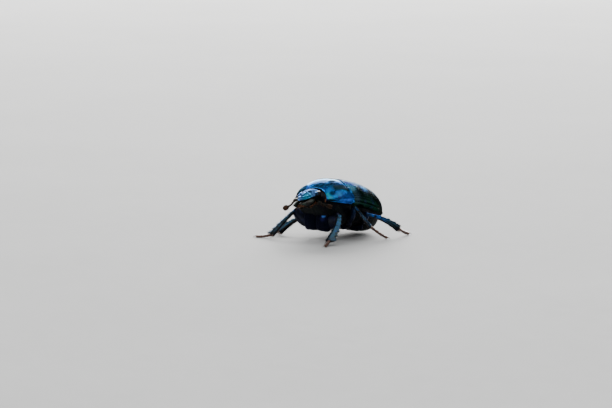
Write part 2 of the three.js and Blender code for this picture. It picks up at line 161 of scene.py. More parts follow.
class Dome:
    """An egg with boxier sides: half-lengths to each side of a centre that lies "at" so far forward."""

    def __init__(self, at, side, front, back, top, bottom, fullness, bend):
        self.at = at
        self.side = side
        self.front = front
        self.back = back
        self.top = top
        self.bottom = bottom
        self.fullness = fullness
        self.bend = bend

    def point(self, along, around):
        """Along runs from -90 degrees at the front to 90 at the back; around is 90 at the crown."""
        n = self.fullness
        v = Vector((math.cos(along) * math.cos(around), math.sin(along), math.cos(along) * math.sin(around)))
        v *= sum(abs(c) ** n for c in v) ** (-1 / n)
        v.x *= self.side
        v.y *= self.front if v.y < 0 else self.back
        v.z *= self.top if v.z > 0 else self.bottom
        self.bend(self, v)
        return v - Vector((0, self.at, 0))

    def height(self, left, forward):
        """How high the upper surface is over a spot."""
        n = self.fullness
        y = self.at - forward
        spread = abs(left / self.side) ** n + abs(y / (self.front if y < 0 else self.back)) ** n
        v = Vector((left, y, self.top * max(0, 1 - spread) ** (1 / n)))
        self.bend(self, v)
        return v.z

    def edge(self, around, behind):
        """The latitude at which behind(point) turns true, from front to back."""
        low, high = -math.pi / 2, math.pi / 2
        for _ in range(26):
            middle = (low + high) / 2
            if behind(self.point(middle, around)):
                high = middle
            else:
                low = middle
        return high


def pronotum_bend(dome, v):
    forward = dome.at - v.y
    behind = clamp(2.6 - forward, 0, 1.6)
    low = max(0, 1 - abs(v.z) / dome.top)
    v.z = v.z * (1 - 0.028 * max(0, forward - 1.4) ** 2) + low * 0.35 * behind**2


def tail_bend(dome, v):
    behind = max(0, 1.2 - dome.at + v.y)
    v.z += 0.38 - 0.02 * behind - 0.020 * behind**2


PRONOTUM = Dome(1.9, 4.6, 4.9, 4.2, 3.25, 0.6, 2.5, pronotum_bend)
WING_CASES = Dome(-1.2, 4.65, 6.2, 6.7, 3.0, 1.2, 2.45, tail_bend)
PROTHORAX = Dome(2.3, 3.95, 3.9, 3.2, 2.45, 3.65, 3.3, pronotum_bend)
HIND_BODY = Dome(-1.6, 4.05, 3.6, 6.1, 2.45, 4.0, 2.35, tail_bend)

WAIST_BENDS = [(0.5, 0.0), (1.3, 0.05), (2.5, 0.4), (3.5, 0.6), (4.3, 0.3), (4.6, -0.05), (6, -0.8)]


def behind_collar(point):
    return math.hypot(-point.y - COLLAR_AT - COLLAR_RADIUS, point.x) > COLLAR_RADIUS


def behind_waist(point, gap=0.0):
    return -point.y < WAIST - gap + through(WAIST_BENDS, abs(point.x))


# ---------------------------------------------------------------- finishes


class Signal:
    """A number that varies over a surface. Sums on it add Math nodes to its finish."""

    def __init__(self, finish, socket):
        self.finish = finish
        self.socket = socket

    def math(self, operation, *values):
        inputs = dict(enumerate(values))
        return self.finish.node("ShaderNodeMath", {"operation": operation}, inputs)

    def __add__(self, other):
        return self.math("ADD", self, other)

    def __radd__(self, other):
        return self.math("ADD", other, self)

    def __sub__(self, other):
        return self.math("SUBTRACT", self, other)

    def __rsub__(self, other):
        return self.math("SUBTRACT", other, self)

    def __mul__(self, other):
        return self.math("MULTIPLY", self, other)

    def __rmul__(self, other):
        return self.math("MULTIPLY", other, self)

    def __truediv__(self, other):
        return self.math("DIVIDE", self, other)

    def __pow__(self, other):
        return self.math("POWER", self, other)

    def size(self):
        return self.math("ABSOLUTE", self)

    def rise(self, start, stop):
        """0 before start and 1 after stop, smooth between them; start may be the larger."""
        inputs = {"Value": self, "From Min": start, "From Max": stop}
        return self.finish.node("ShaderNodeMapRange", {"interpolation_type": "SMOOTHSTEP"}, inputs)


class Finish:
    """A material: constants are set on the shader's own sockets, and signals are linked to them."""

    def __init__(self, name, **constants):
        self.material = bpy.data.materials.new(name)
        self.material.use_nodes = True
        self.nodes = self.material.node_tree.nodes
        self.links = self.material.node_tree.links
        self.shader = self.nodes["Principled BSDF"]
        self.place = self.node("ShaderNodeTexCoord", output="Object")
        for socket, value in constants.items():
            self.feed(socket.replace("_", " ").title().replace("Ior", "IOR"), value)

    def node(self, kind, settings=None, inputs=None, output=0):
        made = self.nodes.new(kind)
        for key, value in (settings or {}).items():
            setattr(made, key, value)
        for key, value in (inputs or {}).items():
            self.join(value, made.inputs[key])
        return Signal(self, made.outputs[output])

    def join(self, value, socket):
        if isinstance(value, Signal):
            self.links.new(value.socket, socket)
        elif socket.type == "RGBA" and len(value) == 3:
            socket.default_value = (*value, 1)
        else:
            socket.default_value = value

    def feed(self, socket, value):
        self.join(value, self.shader.inputs[socket])

    def axis(self, name):
        """How far along a row axis, in millimetres."""
        return self.node("ShaderNodeSeparateXYZ", inputs={0: self.place}, output=name) * 1000

    def grain(self, size, detail=2.0, rough=0.5, stretch=None):
        """Noise from 0 to 1, with lumps of about this many millimetres."""
        place = self.place
        if stretch:
            place = self.node("ShaderNodeMapping", inputs={"Vector": place, "Scale": stretch})
        inputs = {"Vector": place, "Scale": 1000 / size, "Detail": detail, "Roughness": rough}
        return self.node("ShaderNodeTexNoise", inputs=inputs)

    def cells(self, size, feature="F1"):
        """Distance from the middles of cells that are about this many millimetres across."""
        inputs = {"Vector": self.place, "Scale": 1000 / size}
        return self.node("ShaderNodeTexVoronoi", {"feature": feature}, inputs, "Distance")

    def blend(self, share, under, over):
        inputs = {0: share, 6: under, 7: over}
        return self.node("ShaderNodeMix", {"data_type": "RGBA"}, inputs, 2)

    def bump(self, height, depth):
        """Raises the surface by height times this many millimetres."""
        inputs = {"Height": height, "Distance": depth / 1000, "Strength": 1.0}
        self.feed("Normal", self.node("ShaderNodeBump", inputs=inputs))

    def paint_shade(self, share):
        """Paints shade: mixes in this share of a dark surface that mirrors nothing."""
        dark = self.node("ShaderNodeBsdfDiffuse", inputs={"Color": (0.004, 0.008, 0.008)})
        inputs = {0: share, 1: Signal(self, self.shader.outputs[0]), 2: dark}
        mixed = self.node("ShaderNodeMixShader", inputs=inputs)
        self.join(mixed, self.nodes["Material Output"].inputs["Surface"])


def left_of(finish):
    """How far to the left of the body's middle plane, in millimetres."""
    return finish.axis("X") + CENTRE_LEFT


def side_of(finish):
    """How far out from the body's middle plane, in millimetres."""
    return left_of(finish).size()


def forward_of(finish):
    return CENTRE_FORWARD - finish.axis("Y")


def near(finish, forward, left, up, reach, across=side_of):
    """1 at a spot of the stance, falling to 0 at this reach; with side_of, at its mirror image too."""
    far = (forward_of(finish) - forward) ** 2 + (across(finish) - left) ** 2 + (finish.axis("Z") - up) ** 2
    return (far**0.5).rise(reach, 0)


def make_shell():
    """Polished chitin of the pronotum: near black over the crown, blue and teal at the sides, with painted
    reflections and painted shade.
    """
    f = Finish("blue_shell", specular_tint=(0.30, 0.47, 0.62, 1), specular_ior_level=0.10)
    side = side_of(f)
    drift = f.grain(1.5, 3)
    crown = f.blend(drift.rise(0.35, 0.65), (0.010, 0.028, 0.06), (0.018, 0.06, 0.12))
    blue = f.blend(drift.rise(0.3, 0.7), (0.008, 0.06, 0.26), (0.010, 0.12, 0.30))
    colour = f.blend((side + drift * 1.4).rise(2.2, 4.2), crown, blue)
    # Painted reflections: blue patches over the front and upper side; the deep blue low on each side is partly the
    # margin's own blue and partly painted reflection.
    colour = f.blend(near(f, 4.9, 1.7, 7.7, 1.7) * 0.85, colour, (0.006, 0.09, 0.28))
    colour = f.blend(near(f, 4.0, 4.0, 6.9, 1.1) * 0.8, colour, (0.025, 0.10, 0.19))
    colour = f.blend(near(f, 3.0, 4.5, 5.9, 1.9), colour, (0.030, 0.13, 0.60))
    colour = f.blend(f.grain(0.4, 3).rise(0.45, 0.7) * 0.65, colour, (0.003, 0.025, 0.06))
    # Painted reflections: two teal highlight patches and a dark reflection patch high on each side.
    colour = f.blend(near(f, 5.35, 2.75, 7.1, 0.7), colour, (0.002, 0.14, 0.17))
    colour = f.blend(near(f, 5.45, 3.4, 6.55, 0.6), colour, (0.001, 0.17, 0.155))
    colour = f.blend(near(f, 4.75, 3.15, 7.25, 0.8).rise(0.0, 0.7), colour, (0.002, 0.015, 0.035))
    colour = f.blend(f.grain(0.8, 2).rise(0.58, 0.78) * 0.5, colour, (0.07, 0.04, 0.30))
    # Duller, darker fields: a long one over each side, one over the crown and small clouds all over. They are partly
    # the disc's own dark tone and partly painted dark reflection, chiefly the patches high on each side.
    dark_disc_and_painted_reflection = near(f, 2.8, 2.8, 8.0, 2.6) * 0.4 + near(f, 2.6, 0, 8.6, 3.2) * 0.6
    dark_disc_and_painted_reflection = dark_disc_and_painted_reflection + near(f, 3.6, 2.8, 7.95, 1.2) + near(f, 2.9, 3.35, 7.95, 1.1) + near(f, 2.3, 3.75, 7.75, 1.0)
    dark_disc_and_painted_reflection = (dark_disc_and_painted_reflection + f.grain(1.0, 4) * 1.8 - 1.0).rise(0.0, 1.0)
    f.feed("Base Color", f.blend(dark_disc_and_painted_reflection, colour, (0.003, 0.014, 0.020)))
    f.feed("Roughness", 0.15 + f.grain(0.5, 4) * 0.12)
    f.feed("Metallic", 0.92 - dark_disc_and_painted_reflection * 0.3)
    pits = f.cells(0.16).rise(0.0, 0.35)
    f.bump(pits * 0.5 + f.grain(0.06, 3) * 0.25, 0.006)
    # Painted shade on the right front side, and a painted dark reflection on the left where the crown slopes down to
    # its rear edge.
    painted_shade = near(f, 4.9, -2.9, 7.3, 1.6, left_of) * 2.2 + near(f, 2.6, 1.05, 8.6, 1.0, left_of) * 1.5
    f.paint_shade(painted_shade.rise(0.1, 1.0) * 0.9)
    return f


def make_face():
    """Bright blue chitin of the head's plate, teal over its middle and dark on the cheeks: the teal is a painted
    reflection, and the cheeks and the top of the head carry painted shade.
    """
    f = Finish("pale_blue_shell", specular_tint=(0.42, 0.52, 0.68, 1), specular_ior_level=0.12)
    drift = f.grain(0.9, 3)
    colour = f.blend(drift.rise(0.3, 0.7), (0.045, 0.12, 0.30), (0.09, 0.19, 0.42))
    # Painted teal reflection, just left of the plate's middle.
    colour = f.blend(near(f, 7.6, 0.6, 6.75, 1.2, left_of), colour, (0.012, 0.20, 0.29))
    # Painted shade: darker out on the cheeks.
    colour = f.blend(side_of(f).rise(1.55, 1.95), colour, (0.006, 0.012, 0.03))
    f.feed("Base Color", colour)
    f.feed("Roughness", 0.17 + f.grain(0.4, 4) * 0.14)
    f.feed("Metallic", 0.92 - f.grain(0.5, 3).rise(0.6, 0.8) * 0.2)
    f.bump(f.cells(0.12).rise(0.0, 0.35) * 0.6 + f.grain(0.06, 3) * 0.3, 0.008)
    # Painted shade over the top of the head.
    f.paint_shade(f.axis("Z").rise(7.2, 7.5) * 0.7)
    return f


def make_wing_case():
    """Polished grooved chitin: black, with a green and steel-blue sheen, and painted reflections: a steel-blue patch
    near the root, a grey-teal patch at the shoulder and a pale highlight band behind it.
    """
    f = Finish(
        "green_black_shell", metallic=0.93, specular_tint=(0.17, 0.23, 0.26, 1), specular_ior_level=0.12
    )
    drift = f.grain(1.5, 3)
    top = f.blend(drift.rise(0.35, 0.65), (0.012, 0.03, 0.06), (0.03, 0.07, 0.11))
    low = f.blend(drift.rise(0.35, 0.65), (0.006, 0.018, 0.015), (0.012, 0.038, 0.026))
    colour = f.blend(side_of(f).rise(2.4, 4.0), top, low)
    # Painted reflections: a steel-blue patch over the root, a grey-teal patch at the shoulder and a pale highlight
    # band further back.
    colour = f.blend(near(f, 1.1, 3.4, 7.85, 1.9), colour, (0.04, 0.11, 0.16))
    colour = f.blend(near(f, 0.8, 4.4, 6.4, 1.2), colour, (0.03, 0.06, 0.08))
    colour = f.blend(near(f, -1.6, 3.75, 7.2, 1.4) * 0.6, colour, (0.18, 0.22, 0.30))
    colour = f.blend(f.grain(0.8, 2).rise(0.58, 0.75) * 0.4, colour, (0.03, 0.03, 0.10))
    f.feed("Base Color", colour)
    f.feed("Roughness", 0.19 + f.grain(0.4, 4) * 0.14)
    wrinkles = f.grain(0.16, 3, stretch=(0.6, 1.6, 1.0))
    f.bump(wrinkles * 0.6 + f.cells(0.13).rise(0.0, 0.3) * 0.4, 0.010)
    return f


def make_belly():
    """Violet-black chitin, closely pricked."""
    f = Finish("belly_chitin", metallic=0.2, specular_ior_level=0.05)
    drift = f.grain(1.2, 3)
    colour = f.blend(drift.rise(0.35, 0.65), (0.002, 0.002, 0.005), (0.003, 0.006, 0.006))
    colour = f.blend(f.grain(0.5, 2).rise(0.62, 0.78), colour, (0.008, 0.007, 0.022))
    f.feed("Base Color", colour)
    f.feed("Roughness", 0.3 + f.grain(0.3, 4) * 0.2)
    f.bump(f.cells(0.15).rise(0.0, 0.4) * 0.7 + f.grain(0.05, 3) * 0.3, 0.009)
    return f


def make_hip():
    """Violet-black chitin of the hips, with a painted blue glint, a bright blue spot, on the front of the left fore
    hip.
    """
    f = Finish("hip_chitin", specular_tint=(0.25, 0.4, 0.9, 1), specular_ior_level=0.07)
    colour = f.blend(f.grain(0.6, 3).rise(0.35, 0.65), (0.002, 0.003, 0.007), (0.004, 0.004, 0.013))
    # Painted glint: a bright blue spot with a bluish halo on the front of the left fore hip, made shinier and
    # smoother there too.
    colour = f.blend(near(f, 5.0, 1.5, 3.3, 0.7, left_of), colour, (0.02, 0.02, 0.10))
    spot = near(f, 5.0, 1.6, 3.85, 0.6, left_of).rise(0.0, 0.6)
    f.feed("Base Color", f.blend(spot, colour, (0.12, 0.32, 1.0)))
    f.feed("Metallic", 0.3 + spot * 0.65)
    f.feed("Roughness", 0.42 - spot * 0.2 + f.grain(0.3, 4) * 0.2)
    f.bump(f.cells(0.12).rise(0.0, 0.4) * 0.7 + f.grain(0.05, 3) * 0.3, 0.014)
    return f


def make_thigh_finish():
    """Violet-black chitin of the thighs, with a blue sheen at the knees."""
    f = Finish("thigh_chitin", metallic=0.7, specular_tint=(0.3, 0.36, 0.5, 1), coat_weight=0.12, coat_roughness=0.1)
    drift = f.grain(0.8, 3)
    colour = f.blend(drift.rise(0.4, 0.7), (0.004, 0.005, 0.010), (0.007, 0.009, 0.030))
    colour = f.blend(side_of(f).rise(3.9, 5.4) * 0.4, colour, (0.008, 0.035, 0.12))
    f.feed("Base Color", colour)
    f.feed("Roughness", 0.22 + f.grain(0.3, 4) * 0.16)
    f.bump(f.cells(0.14).rise(0.0, 0.35) * 0.6 + f.grain(0.05, 3) * 0.3, 0.010)
    return f


def make_leg():
    """Steel-blue chitin of the shins, browner towards the feet, with painted highlights on the left middle and hind
    shins and painted shade on the right-hand legs.
    """
    f = Finish("steel_blue_chitin", metallic=0.9, specular_tint=(0.5, 0.6, 0.75, 1), coat_weight=0.1, coat_roughness=0.1)
    drift = f.grain(0.6, 3)
    colour = f.blend(drift.rise(0.38, 0.62), (0.003, 0.008, 0.014), (0.020, 0.075, 0.14))
    colour = f.blend(f.grain(0.6, 2).rise(0.5, 0.65) * 0.7, colour, (0.006, 0.02, 0.018))
    colour = f.blend(f.grain(0.45, 2).rise(0.62, 0.75) * 0.7, colour, (0.012, 0.05, 0.30))
    # Painted highlights: bright blue on the left hind shin and pale blue on the left middle shin.
    colour = f.blend(near(f, -2.0, 5.8, 3.1, 2.2, left_of) * drift.rise(0.3, 0.6), colour, (0.015, 0.11, 0.45))
    colour = f.blend(near(f, 0.9, 5.8, 3.4, 1.3, left_of) * 0.8, colour, (0.06, 0.13, 0.22))
    colour = f.blend(f.axis("Z").rise(3.2, 1.6) * drift.rise(0.7, 0.3), colour, (0.020, 0.028, 0.028))
    colour = f.blend(f.axis("Z").rise(1.6, 0.3) * 0.6, colour, (0.02, 0.010, 0.010))
    f.feed("Base Color", colour)
    f.feed("Roughness", 0.2 + f.grain(0.3, 4) * 0.16)
    f.bump(f.cells(0.12).rise(0.0, 0.35) * 0.6 + f.grain(0.05, 3) * 0.3, 0.010)
    # Painted shade on the right-hand legs, strongest at the right fore shin's end.
    f.paint_shade(left_of(f).rise(-3.5, -4.5) * 0.25 + near(f, 8.2, -6.0, 0.6, 1.5, left_of) * 0.6)
    return f


def make_foot():
    """Dark red-brown chitin of the feet, spurs and claws."""
    f = Finish("red_brown_chitin", metallic=0.1, coat_weight=0.3, coat_roughness=0.15)
    colour = f.blend(f.grain(0.4, 3).rise(0.3, 0.7), (0.05, 0.018, 0.012), (0.12, 0.045, 0.022))
    f.feed("Base Color", colour)
    f.feed("Roughness", 0.3 + f.grain(0.2, 3) * 0.2)
    f.bump(f.grain(0.05, 3), 0.004)
    return f


def make_feeler():
    """Dark brown chitin of the feelers' stems and the palps, with painted shade on the left."""
    f = Finish("dark_brown_chitin", specular_ior_level=0.25)
    colour = f.blend(f.grain(0.3, 3).rise(0.3, 0.7), (0.008, 0.006, 0.004), (0.026, 0.014, 0.008))
    f.feed("Base Color", colour)
    f.feed("Roughness", 0.42 + f.grain(0.15, 3) * 0.2)
    f.bump(f.grain(0.05, 3), 0.004)
    # Painted shade on the parts left of the middle, chiefly the left feeler's stem.
    f.paint_shade(left_of(f).rise(0.5, 1.5) * 0.6)
    return f


def make_club():
    """Orange-brown felt of the feelers' clubs, with painted shade on the left club."""
    f = Finish("orange_brown_felt", specular_ior_level=0.25)
    colour = f.blend(f.grain(0.25, 3).rise(0.3, 0.7), (0.012, 0.004, 0.002), (0.050, 0.017, 0.004))
    f.feed("Base Color", colour)
    f.feed("Roughness", 0.65 + f.grain(0.1, 3) * 0.2)
    f.bump(f.grain(0.03, 4), 0.012)
    # Painted shade on the left club.
    f.paint_shade(left_of(f).rise(0.5, 1.5) * 0.4)
    return f


def make_eye():
    """Black faceted eye."""
    f = Finish("faceted_eye", specular_ior_level=0.15)
    f.feed("Base Color", f.blend(f.grain(0.3, 2), (0.004, 0.004, 0.006), (0.014, 0.009, 0.008)))
    f.feed("Roughness", 0.1 + f.grain(0.1, 2) * 0.08)
    f.bump(1 - f.cells(0.03), 0.003)
    return f


def make_jaw():
    """Brown-black chitin of the lip and jaws, with a dull green and violet sheen and a painted pale highlight on the
    lip.
    """
    f = Finish("brown_black_chitin", metallic=0.65, specular_tint=(0.32, 0.35, 0.34, 1), coat_weight=0.03)
    colour = f.blend(f.grain(0.5, 3).rise(0.3, 0.7), (0.010, 0.009, 0.011), (0.032, 0.028, 0.022))
    colour = f.blend(f.grain(0.6, 2).rise(0.52, 0.68) * 0.7, colour, (0.03, 0.055, 0.045))
    # Painted highlight: a pale green-grey spot on the front of the lip.
    colour = f.blend(near(f, 8.05, -0.1, 5.0, 0.6), colour, (0.11, 0.15, 0.12))
    colour = f.blend(f.grain(0.35, 2).rise(0.62, 0.75) * 0.6, colour, (0.045, 0.022, 0.075))
    f.feed("Base Color", colour)
    f.feed("Roughness", 0.18 + f.grain(0.2, 3) * 0.15)
    f.bump(f.cells(0.1).rise(0.0, 0.4) * 0.6 + f.grain(0.05, 3) * 0.4, 0.010)
    return f


def make_bristle(name, dark, pale):
    f = Finish(name, specular_ior_level=0.3)
    f.feed("Base Color", f.blend(f.grain(0.25, 2).rise(0.3, 0.7), dark, pale))
    f.feed("Roughness", 0.4 + f.grain(0.1, 2) * 0.2)
    return f


FINISHES = {
    "shell": make_shell(),
    "face": make_face(),
    "wing_case": make_wing_case(),
    "belly": make_belly(),
    "hip": make_hip(),
    "thigh": make_thigh_finish(),
    "leg": make_leg(),
    "foot": make_foot(),
    "feeler": make_feeler(),
    "club": make_club(),
    "eye": make_eye(),
    "mouthparts": make_jaw(),
    "bristle": make_bristle("dark_bristle", (0.010, 0.006, 0.005), (0.04, 0.020, 0.012)),
    "fringe": make_bristle("orange_bristle", (0.04, 0.014, 0.005), (0.24, 0.085, 0.025)),
}

# ---------------------------------------------------------------- making pieces


def spindle(bm, sides, rings, place):
    """Adds a closed round form: place(t, angle) puts its rings, from one pole at 0 to the other at 1."""
    made = bmesh.ops.create_uvsphere(bm, u_segments=sides, v_segments=rings, radius=1)
    for v in made["verts"]:
        t = math.acos(clamp(-v.co.z, -1, 1)) / math.pi
        v.co = place(t, math.atan2(v.co.y, v.co.x))
    return made["verts"]


def raise_relief(bm, verts, relief):
    """Moves points along their normals by relief(point)."""
    bmesh.ops.recalc_face_normals(bm, faces=bm.faces)
    bm.normal_update()
    moved = [(v, v.co + v.normal * relief(v.co)) for v in verts]
    for v, co in moved:
        v.co = co


def sheet(columns, rows, place, relief):
    """A grid laid on a surface: place(u, v) puts it and relief(u, v, point) raises it."""
    bm = bmesh.new()
    bmesh.ops.create_grid(bm, x_segments=columns, y_segments=rows, size=0.5)
    spots = [(v, v.co.x + 0.5, v.co.y + 0.5) for v in bm.verts]
    for v, across, down in spots:
        v.co = place(across, down)
    bmesh.ops.recalc_face_normals(bm, faces=bm.faces)
    bm.normal_update()
    highest = max(bm.verts, key=lambda v: v.co.z)
    if highest.normal.z < 0:
        bmesh.ops.reverse_faces(bm, faces=bm.faces)
        bm.normal_update()
    moved = [(v, v.co + v.normal * relief(across, down, v.co)) for v, across, down in spots]
    for v, co in moved:
        v.co = co
    return bm


def add_piece(name, bm, place, look, nodes, wall=0.0, crease=40, other=None, where=None):
    """Makes a finished piece of a bmesh that stands in the frame "place", in place of CAD nodes.

    A second finish goes on the inside of a wall, or on the faces that pass where(face).
    """
    bmesh.ops.remove_doubles(bm, verts=bm.verts, dist=1e-5)
    if not wall:
        bmesh.ops.recalc_face_normals(bm, faces=bm.faces)
    for face in bm.faces:
        face.material_index = int(bool(where and where(face)))
    bm.transform(METRES @ place)
    mesh = bpy.data.meshes.new(name)
    bm.to_mesh(mesh)
    bm.free()
    piece = bpy.data.objects.new(name, mesh)
    bpy.context.scene.collection.objects.link(piece)
    mesh.materials.append(FINISHES[look].material)
    if other:
        mesh.materials.append(FINISHES[other].material)
    mesh.shade_smooth()
    mesh.set_sharp_from_angle(angle=math.radians(crease))
    if wall:
        thick = piece.modifiers.new("wall", "SOLIDIFY")
        thick.thickness = wall / 1000
        thick.offset = -1
        thick.material_offset = 1 if other else 0
    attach(piece, "root")
    if nodes:
        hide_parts(*nodes)
    return piece


class Route:
    """A smooth line through stops, with a frame at each place along it."""

    def __init__(self, stops, up=Vector((0, 0, 1)), steps=12):
        stops = [Vector(s) for s in stops]
        padded = [2 * stops[0] - stops[1], *stops, 2 * stops[-1] - stops[-2]]
        self.points = []
        for a, b, c, d in zip(padded, padded[1:], padded[2:], padded[3:]):
            for k in range(steps):
                t = k / steps
                self.points.append(
                    0.5 * (2 * b + (c - a) * t + (2 * a - 5 * b + 4 * c - d) * t**2 + (3 * b - a - 3 * c + d) * t**3)
                )
        self.points.append(stops[-1])
        self.frames = []
        normal = up
        for k in range(len(self.points)):
            ahead = self.points[min(k + 1, len(self.points) - 1)] - self.points[max(k - 1, 0)]
            tangent = ahead.normalized()
            normal = (normal - tangent * normal.dot(tangent)).normalized()
            self.frames.append((tangent, normal, tangent.cross(normal)))

    def at(self, t):
        """The point and its (tangent, normal, side) at a share t of the line."""
        place = clamp(t) * (len(self.points) - 1)
        k = min(int(place), len(self.points) - 2)
        share = place - k
        point = self.points[k].lerp(self.points[k + 1], share)
        return point, [a.lerp(b, share).normalized() for a, b in zip(self.frames[k], self.frames[k + 1])]


def sweep(bm, route, radius, sides=12, rings=24, flat=1.0):
    """Adds a closed tube along a route: radius(t) is its half-width, and flat is its share across."""

    def place(t, angle):
        point, (_, normal, side) = route.at(t)
        wide = radius(t) if 0 < t < 1 else 0
        return point + normal * (wide * math.cos(angle)) + side * (wide * flat * math.sin(angle))

    return spindle(bm, sides, rings, place)


def rounded(t, cap=0.08):
    """A share that opens from 0 at both ends of a limb, like a rounded cap."""
    return math.sqrt(clamp(1 - max(0, 1 - t / cap) ** 2)) * math.sqrt(clamp(1 - max(0, 1 - (1 - t) / cap) ** 2))


def pits_at(points, radius, depth):
    """A relief of small pits round these points."""
    tree = kdtree.KDTree(len(points))
    for k, point in enumerate(points):
        tree.insert(point, k)
    tree.balance()

    def relief(point):
        _, _, distance = tree.find(point)
        return -depth * hump(distance, radius)

    return relief


# ---------------------------------------------------------------- camera, light and floor


def make_camera():
    data = bpy.data.cameras.new("camera")
    camera = bpy.data.objects.new("camera", data)
    bpy.context.scene.collection.objects.link(camera)
    bpy.context.scene.camera = camera
    azimuth, elevation = math.radians(42), math.radians(8)
    back = Vector((
        math.sin(azimuth) * math.cos(elevation),
        -math.cos(azimuth) * math.cos(elevation),
        math.sin(elevation),
    ))
    right = Vector((math.cos(azimuth), math.sin(azimuth), 0))
    up = back.cross(right)
    # The beetle stands a little right of the frame's middle and below it.
    aim = stand(0, 0, 0) - right * 4.78 + up * 4.78
    camera.location = METRES @ (aim + back * 500)
    camera.rotation_mode = "QUATERNION"
    camera.rotation_quaternion = back.to_track_quat("Z", "Y")
    data.lens = 197
    data.sensor_width = 36
    data.clip_start = 0.01
    data.clip_end = 20


def softbox(name, place, size, watts, colour=(1, 1, 1)):
    """An area light that faces the beetle."""
    data = bpy.data.lights.new(name, "AREA")
    data.shape = "RECTANGLE"
    data.size, data.size_y = size
    data.energy = watts
    data.color = colour
    lamp = bpy.data.objects.new(name, data)
    bpy.context.scene.collection.objects.link(lamp)
    lamp.location = place
    lamp.rotation_mode = "QUATERNION"
    lamp.rotation_quaternion = Vector(place).to_track_quat("Z", "Y")


def make_stage():
    bm = bmesh.new()
    bmesh.ops.create_circle(bm, cap_ends=True, segments=96, radius=4)
    mesh = bpy.data.meshes.new("floor")
    bm.to_mesh(mesh)
    bm.free()
    floor = bpy.data.objects.new("floor", mesh)
    bpy.context.scene.collection.objects.link(floor)
    f = Finish("pale_floor", specular_ior_level=0.2)
    f.feed("Base Color", f.blend(f.grain(40, 4), (0.37, 0.365, 0.355), (0.43, 0.425, 0.415)))
    f.feed("Roughness", 0.8 + f.grain(3, 3) * 0.1)
    mesh.materials.append(f.material)

    world = bpy.data.worlds.new("room")
    world.use_nodes = True
    world.node_tree.nodes["Background"].inputs["Color"].default_value = (0.80, 0.84, 0.88, 1)
    world.node_tree.nodes["Background"].inputs["Strength"].default_value = 0.35
    bpy.context.scene.world = world
    softbox("overhead", (0.10, -0.05, 1.00), (2.00, 1.80), 20.0, (0.96, 0.98, 1.0))
    softbox("back_strip", (-0.58, 0.76, 0.36), (0.84, 0.54), 34.0)


# ---------------------------------------------------------------- the shell


def under_margin(face):
    middle = face.calc_center_median()
    return middle.z < 0.35 * clamp(2.6 + middle.y, 0, 1.6) ** 2 - 0.10


def make_pronotum():
    """The domed plate over the front of the body, with a raised rim all round."""
    low, high = math.radians(-40), math.radians(220)
    columns, rows = 300, 96
    edges = []
    for k in range(columns + 1):
        around = lerp(low, high, k / columns)
        front = PRONOTUM.edge(around, behind_collar)
        back = PRONOTUM.edge(around, behind_waist)
        length = (PRONOTUM.point(front, around) - PRONOTUM.point(back, around)).length
        edges.append((front, back, length))

    def place(across, down):
        front, back, _ = edges[round(across * columns)]
        return PRONOTUM.point(lerp(front, back, down), lerp(low, high, across))

    pores = pits_at([
        PRONOTUM.point(math.radians(random.uniform(-60, 20)), math.radians(a + random.gauss(0, 16)))
        for a in [25, 155] * 70
    ], 0.045, 0.022)

    def relief(across, down, point):
        around = lerp(low, high, across)
        to_side = min(around, math.pi - around) * PRONOTUM.side
        _, _, length = edges[round(across * columns)]
        to_front, to_back = down * length, (1 - down) * length
        rim = 0.085 * hump(to_side, 0.12) - 0.11 * hump(to_side - 0.48, 0.26)
        rim += 0.06 * hump(to_back - 0.07, 0.08) - 0.05 * hump(to_back - 0.27, 0.09)
        rim += 0.045 * hump(to_front - 0.06, 0.07) - 0.035 * hump(to_front - 0.22, 0.08)
        forward, out = -point.y, abs(point.x)
        line = -0.03 * hump(out, 0.07) * ease(forward, 1.4, 2.2) * ease(forward, 4.0, 3.2)
        dimple = -0.16 * hump(math.hypot(forward - 4.5, out - 2.95), 0.30)
        dent = -0.08 * hump((forward - 3.0) / 0.9, 1.0) * hump(out - 3.3, 0.35)
        swell = 0.035 * ripple(point, 1.6, 3.0) + 0.012 * ripple(point, 0.5, 9.0)
        return rim + line + dimple + dent + swell + pores(point)

    bm = sheet(columns, rows, place, relief)
    add_piece(
        "pronotum_shell", bm, BODY, "shell", ["pronotum"], wall=0.16, other="belly",
        where=under_margin,
    )


STRIAE = 13


